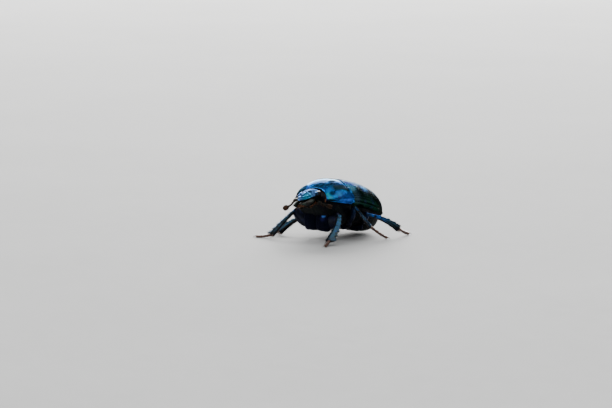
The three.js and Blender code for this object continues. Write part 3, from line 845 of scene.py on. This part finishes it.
def make_wing_case_half(name, side):
    """One wing case: fine punched grooves run from its root to its tip, inside a raised margin."""
    top, low = math.radians(90), math.radians(-48)
    columns, rows = 210, 150
    edges = []
    for k in range(columns + 1):
        around = lerp(top, low, k / columns)
        front = WING_CASES.edge(around, lambda p: behind_waist(p, 0.05))
        edges.append(front)

    def place(across, down):
        around = lerp(top, low, across)
        point = WING_CASES.point(lerp(edges[round(across * columns)], math.pi / 2, down), around)
        point.x = side * (point.x + SUTURE)
        return point

    def relief(across, down, point):
        around = lerp(top, low, across)
        forward, out = -point.y, abs(point.x)
        behind = WAIST - forward
        groove = (1 - around / top) * STRIAE
        off = (groove + 0.5) % 1 - 0.5
        fade = ease(across, 0.66, 0.58) * ease(down, 0.0, 0.04) * ease(down, 0.97, 0.8)
        fade *= 1 if groove > 0.5 else 0
        punched = 0.7 + 0.3 * math.cos(2 * math.pi * behind / 0.27 + groove * 1.7)
        cut = -0.07 * hump(off, 0.17) * punched * fade
        crown = 0.012 * math.cos(2 * math.pi * off) * fade
        seam = -0.05 * hump(out, 0.05)
        rim = 0.10 * hump(around * 4.6, 0.13) - 0.06 * hump(around * 4.6 - 0.34, 0.14)
        front_rim = -0.06 * hump(down * 9, 0.10)
        shoulder = 0.16 * hump(math.hypot(forward - 0.75, out - 3.75), 0.5)
        tail = 0.05 * hump(math.hypot(forward + 6.6, out - 1.6), 0.6)
        shield = -0.10 * ease(out, 0.9, 0.7) * ease(behind, 1.35, 1.1)
        wrinkle = 0.010 * ripple(point, 0.28, 4.0) + 0.02 * ripple(point, 1.3, 5.0)
        return cut + crown + seam + rim + front_rim + shoulder + tail + shield + wrinkle

    bm = sheet(columns, rows, place, relief)
    add_piece(f"wing_case_{name}", bm, BODY, "wing_case", [f"elytron_{name}"], wall=0.12,
              other="belly")


def make_scutellum():
    """The small three-cornered shield between the roots of the wing cases."""

    def place(across, down):
        half = 0.78 * (1 - down**1.7) + 0.01
        left = lerp(-half, half, across)
        forward = WAIST - 0.02 - 1.12 * down
        return local(forward, left, WING_CASES.height(left, forward))

    def relief(across, down, point):
        inset = min(across, 1 - across) * 2 * (1 - down) + 0.02
        return 0.02 - 0.07 * hump(inset, 0.10) + 0.01 * ripple(point, 0.25)

    bm = sheet(36, 36, place, relief)
    add_piece("shield", bm, BODY, "shell", ["scutellum"], wall=0.08)


# ---------------------------------------------------------------- the trunk


def barrel(bm, dome, front, back, sides, rings, relief):
    """Adds the stretch of a dome between two places along the body, closed by flat ends."""
    ends = {}
    for k in range(sides):
        around = 2 * math.pi * k / sides - math.pi
        ends[k] = [dome.edge(around, lambda p, cut=cut: -p.y < cut) for cut in (front, back)]
    cap = 3 / rings

    def place(t, angle):
        start, stop = ends[round((angle + math.pi) / (2 * math.pi) * sides) % sides]
        share = clamp((t - cap) / (1 - 2 * cap))
        point = dome.point(lerp(start, stop, share), angle)
        inward = clamp(min(t, 1 - t) / cap)
        axis = Vector((0, point.y, 0.3))
        return axis.lerp(point, inward**0.7)

    verts = spindle(bm, sides, rings, place)
    raise_relief(bm, verts, relief)


def make_trunk():
    """The prothorax, hind thorax and abdomen, whose undersides show below the shell."""
    bm = bmesh.new()
    barrel(bm, PROTHORAX, 7.0, 1.42, 96, 48, lambda p: 0.02 * ripple(p, 0.5) - 0.06 * hump(p.x, 0.1))
    add_piece("prothorax_body", bm, BODY, "belly", ["prothorax"])

    def breast(point):
        forward, out = -point.y, abs(point.x)
        plates = -0.07 * hump(out - 2.9 - 0.1 * forward, 0.07) - 0.06 * hump(forward - 0.1 + 0.25 * out, 0.06)
        return plates - 0.07 * hump(out, 0.08) + 0.02 * ripple(point, 0.4)

    def neck(t, angle):
        ring = math.sin(math.pi * t)
        return local(1.3, 0, -1.6) + Vector(
            (2.6 * ring * math.cos(angle), -0.9 * math.cos(math.pi * t), 1.9 * ring * math.sin(angle))
        )

    bm = bmesh.new()
    barrel(bm, HIND_BODY, 1.38, -2.9, 96, 60, breast)
    spindle(bm, 48, 24, neck)
    add_piece("thorax_body", bm, BODY, "belly", ["thorax"])

    def sternites(point):
        behind = point.y - 2.9
        step = (behind / 0.78) % 1
        return 0.13 * step**1.5 - 0.07 + 0.015 * ripple(point, 0.35)

    bm = bmesh.new()
    barrel(bm, HIND_BODY, -2.88, -12, 96, 120, sternites)
    add_piece("abdomen_body", bm, BODY, "belly", ["abdomen"])


# ---------------------------------------------------------------- the head

# The head's outline seen along its plate: degrees from the front, and millimetres from the middle.
HEAD_OUTLINE = [
    (0, 1.82), (20, 1.86), (42, 1.85), (54, 1.76), (60, 1.74), (68, 1.94), (77, 2.20), (86, 2.12),
    (97, 1.56), (120, 1.62), (150, 1.52), (180, 1.50),
]
LIP_HIGH = 0.12


def make_head():
    """The face plate inside its raised edge, the cheeks that cut into the eyes, and the capsule under them."""

    def place(t, angle):
        # The spindle's poles are the throat at t = 0 and the crown at t = 1.
        turn = abs(math.degrees(angle))
        outline = through(HEAD_OUTLINE, turn)
        direction = Vector((math.sin(angle), -math.cos(angle), 0))
        plate = ease(turn, 96, 70)
        edge = lerp(0.02, LIP_HIGH, plate)
        if t >= 0.5:
            share = (1 - t) * 2
            radius = outline * math.sin(share * math.pi / 2) ** 0.9
            crown = 0.88 - edge
            return direction * radius + Vector((0, 0, edge + crown * (1 - (radius / outline) ** 2.4) ** 0.66))
        share = t * 2
        throat = min(outline, 1.62) * lerp(1, 0.86, plate)
        lip = ease(share, 0.88, 1.0)
        ring = math.sin(min(share / 0.88, 1) * math.pi / 2) ** 0.8
        radius = lerp(throat * ring, outline, lip)
        depth = 1.2 * math.cos(min(share / 0.88, 1) * math.pi / 2) ** 0.7
        return direction * radius + Vector((0, 0, lerp(-depth - 0.06, edge, lip)))

    def relief(point):
        forward, out = -point.y, abs(point.x)
        turn = math.degrees(math.atan2(out, forward))
        if point.z < 0.04:
            return 0.01 * ripple(point, 0.3)
        to_rim = through(HEAD_OUTLINE, turn) - math.hypot(forward, out)
        rim = 0.075 * hump(to_rim - 0.07, 0.08) - 0.07 * hump(to_rim - 0.30, 0.12)
        knob = 0.13 * hump(math.hypot(forward - 0.42, out), 0.16)
        seam = -0.055 * hump(forward - 0.42 - 0.42 * out, 0.06) * ease(out, 0.12, 0.35) * ease(out, 1.5, 1.3)
        hollow = -0.06 * hump(math.hypot(forward + 0.05, out - 0.62), 0.35)
        swell = 0.03 * hump(math.hypot(forward - 1.1, out - 0.75), 0.5)
        cheek = -0.10 * hump(out - 1.38, 0.10) * ease(forward, -0.45, 0.0) * ease(forward, 1.3, 0.9)
        rough = 0.010 * ripple(point, 0.15) * ease(forward, 0.2, 1.2) + 0.012 * ripple(point, 0.8)
        return rim * ease(turn, 92, 74) + knob + seam + hollow + swell + cheek + rough

    bm = bmesh.new()
    verts = spindle(bm, 200, 120, place)
    raise_relief(bm, verts, relief)
    add_piece(
        "head_capsule", bm, HEAD, "face", ["head"], other="belly",
        where=lambda face: face.calc_center_median().z < LIP_HIGH - 0.16,
    )


def make_eyes():
    """Round dark eyes, set into the sides of the head behind and below the cheeks."""
    for name, side in SIDES.items():
        centre = local(-0.30, side * 1.56, -0.02)
        bm = bmesh.new()
        spindle(bm, 48, 32, lambda t, a: centre + Vector((
            0.44 * math.sin(math.pi * t) * math.cos(a),
            0.50 * math.sin(math.pi * t) * math.sin(a),
            -0.44 * math.cos(math.pi * t),
        )))
        add_piece(f"eyeball_{name}", bm, HEAD, "eye", [f"eye_{name}"])


def make_mouth():
    """The upper lip, the hooked jaws and the palps."""

    def lip(t, angle):
        x = 0.93 * math.sin(math.pi * t) ** 0.8 * math.cos(angle)
        z = 0.25 * math.sin(math.pi * t) ** 0.8 * math.sin(angle)
        y = 0.47 * -math.cos(math.pi * t)
        notch = 0.16 * hump(x, 0.22) * ease(t, 0.5, 0.0)
        return local(1.75, x, -0.4 + z - 0.06 * abs(x)) + Vector((0, y + notch, 0))

    bm = bmesh.new()
    verts = spindle(bm, 64, 40, lip)
    raise_relief(bm, verts, lambda p: 0.012 * ripple(p, 0.15) + 0.03 * hump(p.x, 0.08))
    add_piece("upper_lip", bm, HEAD, "mouthparts", ["labrum"])

    for name, side in SIDES.items():
        def jaw(t, angle, side=side):
            y = -1.12 * math.cos(math.pi * t)
            ahead = max(0, -y)
            ring = math.sin(math.pi * t) ** 0.7
            c, up = math.cos(angle), math.sin(angle)
            # The outer side is a thin blade with a blunt corner; the inner side is cut back to a hook.
            x = ring * c * (0.44 if c > 0 else 0.34) * (1 - 0.30 * ahead)
            x += 0.10 * max(0, c) * hump(ahead - 0.30, 0.16)
            x -= 0.12 * min(0, c) * hump(ahead - 0.62, 0.10)
            z = ring * up * 0.46 * (1 - 0.45 * ahead) * (1 - 0.20 * max(0, c))
            bow = -0.52 * ahead**2
            return local(1.78, 0, -0.46) + Vector((side * (1.42 + x + bow), y, z + 0.26 * ahead))

        bm = bmesh.new()
        verts = spindle(bm, 40, 56, jaw)
        raise_relief(bm, verts, lambda p: 0.014 * ripple(p, 0.2))
        add_piece(f"jaw_{name}", bm, HEAD, "mouthparts", [f"mandible_{name}"])

        bm = bmesh.new()
        stops = [(0.9, 0.7, -0.95), (1.35, 0.9, -1.2), (1.75, 0.95, -1.2), (2.0, 0.8, -1.05)]
        route = Route([local(f, side * out, up) for f, out, up in stops])
        sweep(bm, route, lambda t: 0.13 * jointed(t, [0, 0.25, 0.5, 0.72, 1]), 16, 60)
        inner = Route([local(f, side * out, up) for f, out, up in [(1.1, 0.25, -1.0), (1.5, 0.35, -1.15), (1.8, 0.32, -1.05)]])
        sweep(bm, inner, lambda t: 0.09 * jointed(t, [0, 0.33, 0.66, 1]), 12, 40)
        add_piece(f"palps_{name}", bm, HEAD, "feeler", [f"palp_{name}"])


def jointed(t, joints):
    """A half-width share along a jointed rod: each joint is narrow at its root and swells to its end."""
    for start, stop in zip(joints, joints[1:]):
        if t <= stop:
            share = (t - start) / (stop - start)
            swell = 0.62 + 0.38 * math.sin(clamp(share) * math.pi * 0.72)
            return swell * math.sqrt(clamp(1 - max(0, share - 0.86) ** 2 * 40)) * math.sqrt(clamp(share * 14 + 0.3))
    return 0.0


def make_feelers():
    """The feelers: a long first joint, a row of small ones, and a club of three felted leaves."""
    joints = [0, 0.42, 0.54, 0.62, 0.70, 0.78, 0.86, 0.93, 1.0]
    for name, stops in FEELERS.items():
        points = [stand(*s) for s in stops]
        route = Route(points)
        bm = bmesh.new()
        sweep(bm, route, lambda t: (lerp(0.19, 0.16, ease(t, 0.3, 0.5)) + 0.13 * hump(t - 0.32, 0.10)) * jointed(t, joints), 16, 110)
        add_piece(f"feeler_{name}", bm, ROW, "feeler", [f"antenna_{name}"])

        end = points[-1]
        onward = 2 * end - points[-2]
        club = limb_frame(end, onward, Vector(CLUB_TURN[name]))
        bm = bmesh.new()
        for k in (-1, 0, 1):
            thin = 0.115 if k else 0.10
            spread = 1 if k else 0.92

            def leaf(t, angle, k=k, thin=thin, spread=spread):
                y = 0.4 - 0.46 * spread * math.cos(math.pi * t)
                x = 0.36 * spread * math.sin(math.pi * t) ** 0.8 * math.cos(angle)
                cup = k * (0.215 - 0.16 * (x * x + (y - 0.4) ** 2) * 2)
                z = thin * math.sin(math.pi * t) ** 0.7 * math.sin(angle)
                return Vector((x, y, z + cup))

            spindle(bm, 36, 28, leaf)
        add_piece(f"club_{name}", bm, club, "club", [f"antenna_club_{name}"])


# ---------------------------------------------------------------- legs


class Leg:
    """One leg's joints and frames, and the surfaces of its thigh and shin."""

    def __init__(self, name):
        self.name = name
        self.pair, side_name = name.split("_")
        self.side = SIDES[side_name]
        self.hip, self.knee, self.ankle, self.toe = [stand(*p) for p in LEGS[name]]
        self.thigh_length = (self.knee - self.hip).length
        self.shin_length = (self.ankle - self.knee).length
        self.thigh = limb_frame(self.hip, self.knee, Vector((0, 0, 1)))
        self.shin = limb_frame(self.knee, self.ankle, self.knee - self.hip)
        self.shin @= Matrix.Rotation(math.radians(SHIN_ROLL.get(name, 0)), 4, "Y")
        self.bow = SHIN_BOW.get(name, 0.18)
        self.foot = limb_frame(self.ankle, self.toe, Vector((0, 0, 1)))

    def thigh_point(self, t, angle):
        wide, thick = LIMB[self.pair]["thigh"]
        half = self.thigh_length / 2 + 0.12
        y = half - half * math.cos(math.pi * t)
        share = y / (2 * half)
        swell = 0.72 + 0.5 * share * (1.25 - share)
        ring = math.sin(math.pi * t) ** 0.87
        x = wide * 0.97 * swell * ring * math.cos(angle)
        z = thick * 0.97 * swell * ring * math.sin(angle)
        return Vector((x, y - 0.12, z))

    def shin_edge(self, share):
        """The shin's middle line and half-width at a share of its length."""
        knee, ankle, _ = LIMB[self.pair]["shin"]
        bow = self.bow * math.sin(math.pi * share)
        wide = lerp(knee * 0.8, ankle, ease(share, -0.2, 1.15))
        if self.pair != "front":
            wide += 0.07 * hump(share - 1.0, 0.10)
        return bow, wide

    def teeth(self, share):
        """How far the outer edge's teeth stand out: each rises slowly towards the foot and drops fast."""
        if self.pair == "front":
            sizes = [(0.22, 0.07), (0.35, 0.13), (0.49, 0.19), (0.64, 0.26), (0.80, 0.34), (0.955, 0.44)]
            rise, drop = 0.11, 0.035
        else:
            sizes = [(0.36, 0.08), (0.62, 0.18), (0.82, 0.14)]
            rise, drop = 0.10, 0.03
        total = 0.0
        for at, size in sizes:
            off = share - at
            total = max(total, size * clamp(1 + off / rise if off < 0 else 1 - off / drop) ** 1.4)
        return total

    def shin_point(self, t, angle):
        share = clamp((t - 0.02) / 0.96)
        bow, wide = self.shin_edge(share)
        _, _, thick = LIMB[self.pair]["shin"]
        cap = rounded(t, 0.05)
        c, s = math.cos(angle), math.sin(angle)
        outer = max(0, c)
        thick = lerp(thick * 0.8, thick, share) * (1 - 0.45 * outer**2)
        x = bow + (wide * c + self.teeth(share) * outer**3) * cap
        z = thick * s * cap
        # A keel runs down the middle of each face.
        z += math.copysign(0.05, s) * hump(c + 0.15, 0.16) * cap
        lead = 0.20 * outer**2 * ease(share, 0.88, 1.0) if self.pair == "front" else 0
        return Vector((x, lerp(-0.12, self.shin_length + 0.06, share) + lead, z))


def make_hips(leg):
    """The hip and the small ring piece between it and the thigh."""
    half, at = HIPS[leg.pair]["half"], HIPS[leg.pair]["at"]
    centre = local(at[0], leg.side * at[1], at[2])

    def hip(t, angle):
        ring = math.sin(math.pi * t) ** 0.62
        c, up = math.cos(angle), math.sin(angle)
        power = 3.4 if c * leg.side > 0 else 4.6
        boxy = (abs(c) ** power + abs(up) ** power) ** (-1 / power)
        down = max(0, -up * ring * boxy)
        taper = 1 - 0.07 * down if leg.pair == "front" else 1
        spot = Vector((
            half[0] * ring * taper * c * boxy,
            -half[1] * taper * math.cos(math.pi * t),
            half[2] * ring * up * boxy,
        ))
        return centre + spot * 0.96

    bm = bmesh.new()
    verts = spindle(bm, 48, 32, hip)

    def relief(point):
        off = point - centre
        ridges = 0.02 * math.sin(off.z * 14 + 2 * ripple(point, 0.6)) * ease(abs(off.x), 0.1, 0.4)
        edge = -0.02 * hump(off.x * leg.side - half[0] * 0.45 - 0.1 * off.z, 0.06)
        return ridges + edge + 0.02 * ripple(point, 0.35)

    raise_relief(bm, verts, relief)
    add_piece(f"hip_{leg.name}", bm, BODY, "hip", [f"coxa_{leg.name}"])


def make_thigh(leg):
    bm = bmesh.new()
    verts = spindle(bm, 56, 44, leg.thigh_point)

    def relief(point):
        share = point.y / leg.thigh_length
        knee_notch = -0.12 * hump(point.y - leg.thigh_length + 0.15, 0.3) * hump(point.z, 0.22)
        crease = -0.025 * hump(abs(point.z) - 0.2, 0.05) * ease(share, 0.1, 0.4)
        return knee_notch + crease + 0.015 * ripple(point, 0.45)

    raise_relief(bm, verts, relief)
    trochanter = Matrix.Translation((-0.18, 0.35, 0))
    wide, thick = LIMB[leg.pair]["thigh"]
    spindle(bm, 32, 20, lambda t, a: trochanter @ Vector((
        wide * 0.60 * math.sin(math.pi * t) ** 0.8 * math.cos(a),
        -0.62 * math.cos(math.pi * t),
        thick * 0.86 * math.sin(math.pi * t) ** 0.8 * math.sin(a),
    )))
    add_piece(f"thigh_{leg.name}", bm, leg.thigh, "thigh", [f"femur_{leg.name}"])


def make_shin(leg):
    bm = bmesh.new()
    verts = spindle(bm, 48, 150, leg.shin_point)
    raise_relief(bm, verts, lambda p: 0.008 * ripple(p, 0.2))
    # Faces that point up less than SHIN_SHADE get the dark belly finish as painted shade.
    add_piece(
        f"shin_{leg.name}", bm, leg.shin, "leg", [f"tibia_{leg.name}"], other="belly",
        where=lambda face: (leg.shin.to_3x3() @ face.normal).z < SHIN_SHADE.get(leg.name, 0.05),
    )

    bm = bmesh.new()
    _, wide = leg.shin_edge(1.0)
    for k in range(1 if leg.pair == "front" else 2):
        root = Vector((-wide * (0.7 - 0.4 * k), leg.shin_length - 0.1, 0.14 * (1 - 2 * k)))
        tip = root + Vector((-0.20 + 0.12 * k, 0.78 - 0.12 * k, 0.06 * (1 - 2 * k)))
        # A spur that would run into the floor lies along it.
        sunk = max(0, 0.12 - (leg.shin @ tip).z)
        tip += leg.shin.to_3x3().inverted() @ Vector((0, 0, sunk))
        bend = root.lerp(tip, 0.5) + Vector((-0.06, 0, 0))
        sweep(bm, Route([root, bend, tip]), lambda t: 0.10 * (1 - t) ** 0.6 * min(1, t * 12), 12, 24, 0.7)
    add_piece(f"spurs_{leg.name}", bm, leg.shin, "foot", [])


FOOT_JOINTS = [0.0, 0.24, 0.42, 0.58, 0.73, 1.0]
# The height of a foot's flat sole over the floor.
SOLE = 0.005


def foot_route(leg):
    """The foot's middle line: it leaves the shin's end and lies down on the floor."""
    reach = leg.toe - leg.ankle
    start = leg.ankle - reach.normalized() * 0.15
    middle = leg.ankle.lerp(leg.toe, 0.55) - Vector((0, 0, 0.12 * reach.length / 3))
    middle.z = max(middle.z, 0.16)
    end = leg.toe - reach.normalized() * 0.25
    end.z = 0.2
    return Route([start, middle, end], steps=24)


def make_foot_piece(leg):
    """Five joints, each swollen at its end, and a pair of curved claws that reach the floor."""
    route = foot_route(leg)
    bm = bmesh.new()
    sweep(bm, route, lambda t: 0.23 * jointed(t, FOOT_JOINTS), 16, 130)
    end, (tangent, up, side) = route.at(1.0)
    flat = Vector((tangent.x, tangent.y, 0)).normalized()
    across = Vector((0, 0, 1)).cross(flat)
    for hand in (1, -1):
        root = end - flat * 0.1 + across * hand * 0.04
        bend = end + flat * 0.2 + across * hand * 0.22 + Vector((0, 0, 0.05))
        tip = end + flat * 0.42 + across * hand * 0.32
        tip.z = 0.02
        sweep(bm, Route([root, bend, tip]), lambda t: 0.065 * (1 - t) ** 0.55 * min(1, t * 10), 12, 24)
    for vert in bm.verts:
        vert.co.z = max(vert.co.z, SOLE)
    add_piece(f"foot_{leg.name}", bm, ROW, "foot", [f"tarsus_{leg.name}"])


# ---------------------------------------------------------------- bristles


def bristle_pattern():
    """One tapering bristle, a unit long along +Z and bent towards +X, as points and faces."""
    bm = bmesh.new()
    bmesh.ops.create_cone(bm, cap_ends=True, segments=3, radius1=1, radius2=0.15, depth=1)
    bmesh.ops.translate(bm, verts=bm.verts, vec=(0, 0, 0.5))
    for cut in (0.35, 0.7):
        bmesh.ops.bisect_plane(
            bm, geom=bm.verts[:] + bm.edges[:] + bm.faces[:], plane_co=(0, 0, cut), plane_no=(0, 0, 1)
        )
    bmesh.ops.triangulate(bm, faces=bm.faces)
    bm.verts.index_update()
    points = np.array([v.co for v in bm.verts])
    faces = np.array([[v.index for v in f.verts] for f in bm.faces])
    bm.free()
    return points, faces


BRISTLE_POINTS, BRISTLE_FACES = bristle_pattern()
PATCH = 0.003


def add_bristles(name, roots, look):
    """A coat piece: roots are (point, direction, lean, length, half-width, (u, v)) in the row's frame."""
    count = len(roots)
    points = np.zeros((count, len(BRISTLE_POINTS), 3))
    spots = np.zeros((count, len(BRISTLE_FACES) * 3, 2))
    patch = BRISTLE_POINTS[BRISTLE_FACES.reshape(-1)][:, :2] * 0.5 + 0.5
    for k, (point, direction, lean, length, width, place) in enumerate(roots):
        direction = direction.normalized()
        side = direction.orthogonal().normalized()
        other = direction.cross(side)
        lift = BRISTLE_POINTS[:, 2:3]
        grid = BRISTLE_POINTS[:, 0:1] * width * np.array(side) + BRISTLE_POINTS[:, 1:2] * width * np.array(other)
        points[k] = np.array(point) + grid + lift * length * np.array(direction) + lift**2 * length * np.array(lean)
        spots[k] = np.array(place) + patch * PATCH
    faces = (BRISTLE_FACES[None] + np.arange(count)[:, None, None] * len(BRISTLE_POINTS)).reshape(-1, 3)
    mesh = bpy.data.meshes.new(name)
    mesh.from_pydata((points.reshape(-1, 3) * 0.001).tolist(), [], faces.tolist())
    layer = mesh.uv_layers.new(name="OFBake")
    layer.data.foreach_set("uv", spots.reshape(-1).astype(np.float32))
    mesh.shade_smooth()
    mesh.materials.append(FINISHES[look].material)
    piece = bpy.data.objects.new(name, mesh)
    bpy.context.scene.collection.objects.link(piece)
    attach(piece, "root")
    return piece


def rooted(place, surface, spot, lean, length, width, tile):
    """A bristle on a surface(t, angle): it stands off along the normal and leans along the surface."""
    t, angle = spot
    point = surface(t, angle)
    ahead = surface(min(1, t + 0.01), angle) - point
    aside = surface(t, angle + 0.05) - point
    normal = ahead.cross(aside)
    centre = surface(t, angle + math.pi)
    if normal.dot(point - centre) < 0:
        normal.negate()
    normal.normalize()
    ahead.normalize()
    direction = normal + ahead * lean[0] + Vector((random.gauss(0, 1), random.gauss(0, 1), random.gauss(0, 1))) * 0.12
    turn = place.to_3x3()
    droop = turn @ (ahead * lean[1] - normal * 0.1)
    start = place @ (point - normal * 0.02)
    return start, turn @ direction, droop, length, width, tile(t, angle)


def above_floor(root):
    start, direction, lean, length, width, _ = root
    tip = start + (direction.normalized() + lean) * length
    return tip.z > width


def leg_tile(k):
    """Each limb's own strip of the unwrap: along its length one way and around it the other."""
    return lambda t, angle: (0.01 + 0.95 * t, (k + (angle % (2 * math.pi)) / (2 * math.pi) * 0.9 + 0.03) / 18)


def leg_bristles(legs):
    roots = []
    for k, leg in enumerate(legs):
        thigh, shin, foot = leg_tile(3 * k), leg_tile(3 * k + 1), leg_tile(3 * k + 2)
        for _ in range(90):
            spot = (random.uniform(0.15, 0.95), random.choice((0.0, math.pi)) + random.gauss(0, 0.25))
            roots.append(rooted(
                leg.thigh, leg.thigh_point, spot, (0.8, 0.3), random.uniform(0.2, 0.45), 0.013, thigh
            ))
        for _ in range(190):
            spot = (random.uniform(0.1, 0.97), random.choice((math.pi, math.pi * 0.6, -math.pi * 0.6, 0.0)) + random.gauss(0, 0.15))
            roots.append(rooted(
                leg.shin, leg.shin_point, spot, (1.2, 0.2), random.uniform(0.2, 0.5), 0.015, shin
            ))
        for _ in range(28):
            spot = (random.uniform(0.93, 0.975), random.uniform(-math.pi, math.pi))
            roots.append(rooted(leg.shin, leg.shin_point, spot, (3.0, 0.3), random.uniform(0.2, 0.34), 0.02, shin))
        route = foot_route(leg)

        def foot_point(t, angle, route=route):
            point, (_, normal, side) = route.at(t)
            wide = 0.165 * jointed(t, FOOT_JOINTS)
            return point + normal * wide * math.cos(angle) + side * wide * math.sin(angle)

        for _ in range(110):
            joint = random.choice(FOOT_JOINTS[1:-1])
            spot = (joint - random.uniform(0.015, 0.08), random.gauss(math.pi, 1.2))
            roots.append(rooted(
                ROW, foot_point, spot, (1.4, 0.3), random.uniform(0.14, 0.36), 0.012, foot
            ))
    add_bristles("leg_bristles", [r for r in roots if above_floor(r)], "bristle")


def belly_bristles():
    roots = []
    for dome, low, high, count in ((PROTHORAX, -60, 10, 220), (HIND_BODY, -40, 78, 1300)):
        strip = 0.0 if dome is PROTHORAX else 0.5

        def surface(t, angle, dome=dome, low=low, high=high):
            return dome.point(math.radians(lerp(low, high, t)), angle)

        def tile(t, angle, strip=strip):
            return 0.01 + 0.95 * t, strip + 0.02 + 0.45 * clamp(-angle / math.pi)

        for _ in range(count):
            spot = (random.uniform(0, 0.98), math.radians(random.uniform(-172, -8)))
            roots.append(rooted(BODY, surface, spot, (1.6, 0.3), random.uniform(0.2, 0.45), 0.012, tile))
    add_bristles("belly_bristles", roots, "bristle")


def face_bristles(legs):
    """The brown fringe round the neck, the lip and the jaws, and the hairs of the feelers."""
    roots = []
    for k in range(520):
        side = random.choice((1, -1))
        angle = math.radians(random.triangular(-4, 90, 15))
        around = angle if side > 0 else math.pi - angle
        front = PRONOTUM.edge(around, behind_collar)
        point = PRONOTUM.point(front, around) * 0.985 + Vector((0, 0.12, -0.08))
        direction = Vector((side * random.uniform(-0.1, 0.25), -1, random.uniform(-0.6, 0.0)))
        tile = (0.02 + 0.4 * clamp((around + 0.7) / 4.6), 0.02 + 0.1 * random.random())
        reach = lerp(random.uniform(0.35, 0.7), random.uniform(0.18, 0.32), ease(math.degrees(angle), 5, 45))
        roots.append((
            BODY @ point, BODY.to_3x3() @ direction, Vector((0, 0, -0.15)), reach, 0.014, tile
        ))
    turn = HEAD.to_3x3()
    for k in range(150):
        left = random.uniform(-0.85, 0.85)
        point = local(2.08 - 0.12 * abs(left), left, random.uniform(-0.55, -0.35))
        direction = Vector((left * 0.3 + random.gauss(0, 0.15), -1, random.uniform(-0.9, -0.1)))
        tile = (0.5 + 0.2 * (left + 1), 0.2 + 0.1 * random.random())
        roots.append((
            HEAD @ point, turn @ direction, Vector((0, 0, -0.2)), random.uniform(0.2, 0.5), 0.013, tile
        ))
    for k in range(220):
        side = random.choice((1, -1))
        forward = random.uniform(0.2, 1.9)
        point = local(forward, side * (1.15 + 0.30 * random.random()), -0.75 - 0.2 * random.random())
        direction = Vector((side * 0.9, -0.8, random.uniform(-0.9, 0.1)))
        tile = (0.1 + 0.2 * forward, 0.4 + 0.1 * random.random())
        roots.append((
            HEAD @ point, turn @ direction, Vector((0, 0, -0.2)), random.uniform(0.25, 0.6), 0.013, tile
        ))
    for name, stops in FEELERS.items():
        route = Route([stand(*s) for s in stops])
        for k in range(60):
            t = random.uniform(0.05, 0.98)
            point, (tangent, normal, side) = route.at(t)
            a = random.uniform(0, 2 * math.pi)
            out = normal * math.cos(a) + side * math.sin(a)
            tile = (0.02 + 0.9 * t, (0.6 if name == "left" else 0.75) + 0.1 * a / 7)
            roots.append((
                point + out * 0.08, out + tangent * 0.8, Vector((0, 0, -0.05)), random.uniform(0.15, 0.4), 0.010, tile
            ))
    add_bristles("face_bristles", roots, "fringe")


# ---------------------------------------------------------------- the beetle

make_camera()
make_stage()
make_pronotum()
for side_name, side_sign in SIDES.items():
    make_wing_case_half(side_name, side_sign)
make_scutellum()
make_trunk()
make_head()
make_eyes()
make_mouth()
make_feelers()
all_legs = [Leg(leg_name) for leg_name in LEGS]
for each_leg in all_legs:
    make_hips(each_leg)
    make_thigh(each_leg)
    make_shin(each_leg)
    make_foot_piece(each_leg)
leg_bristles(all_legs)
belly_bristles()
face_bristles(all_legs)
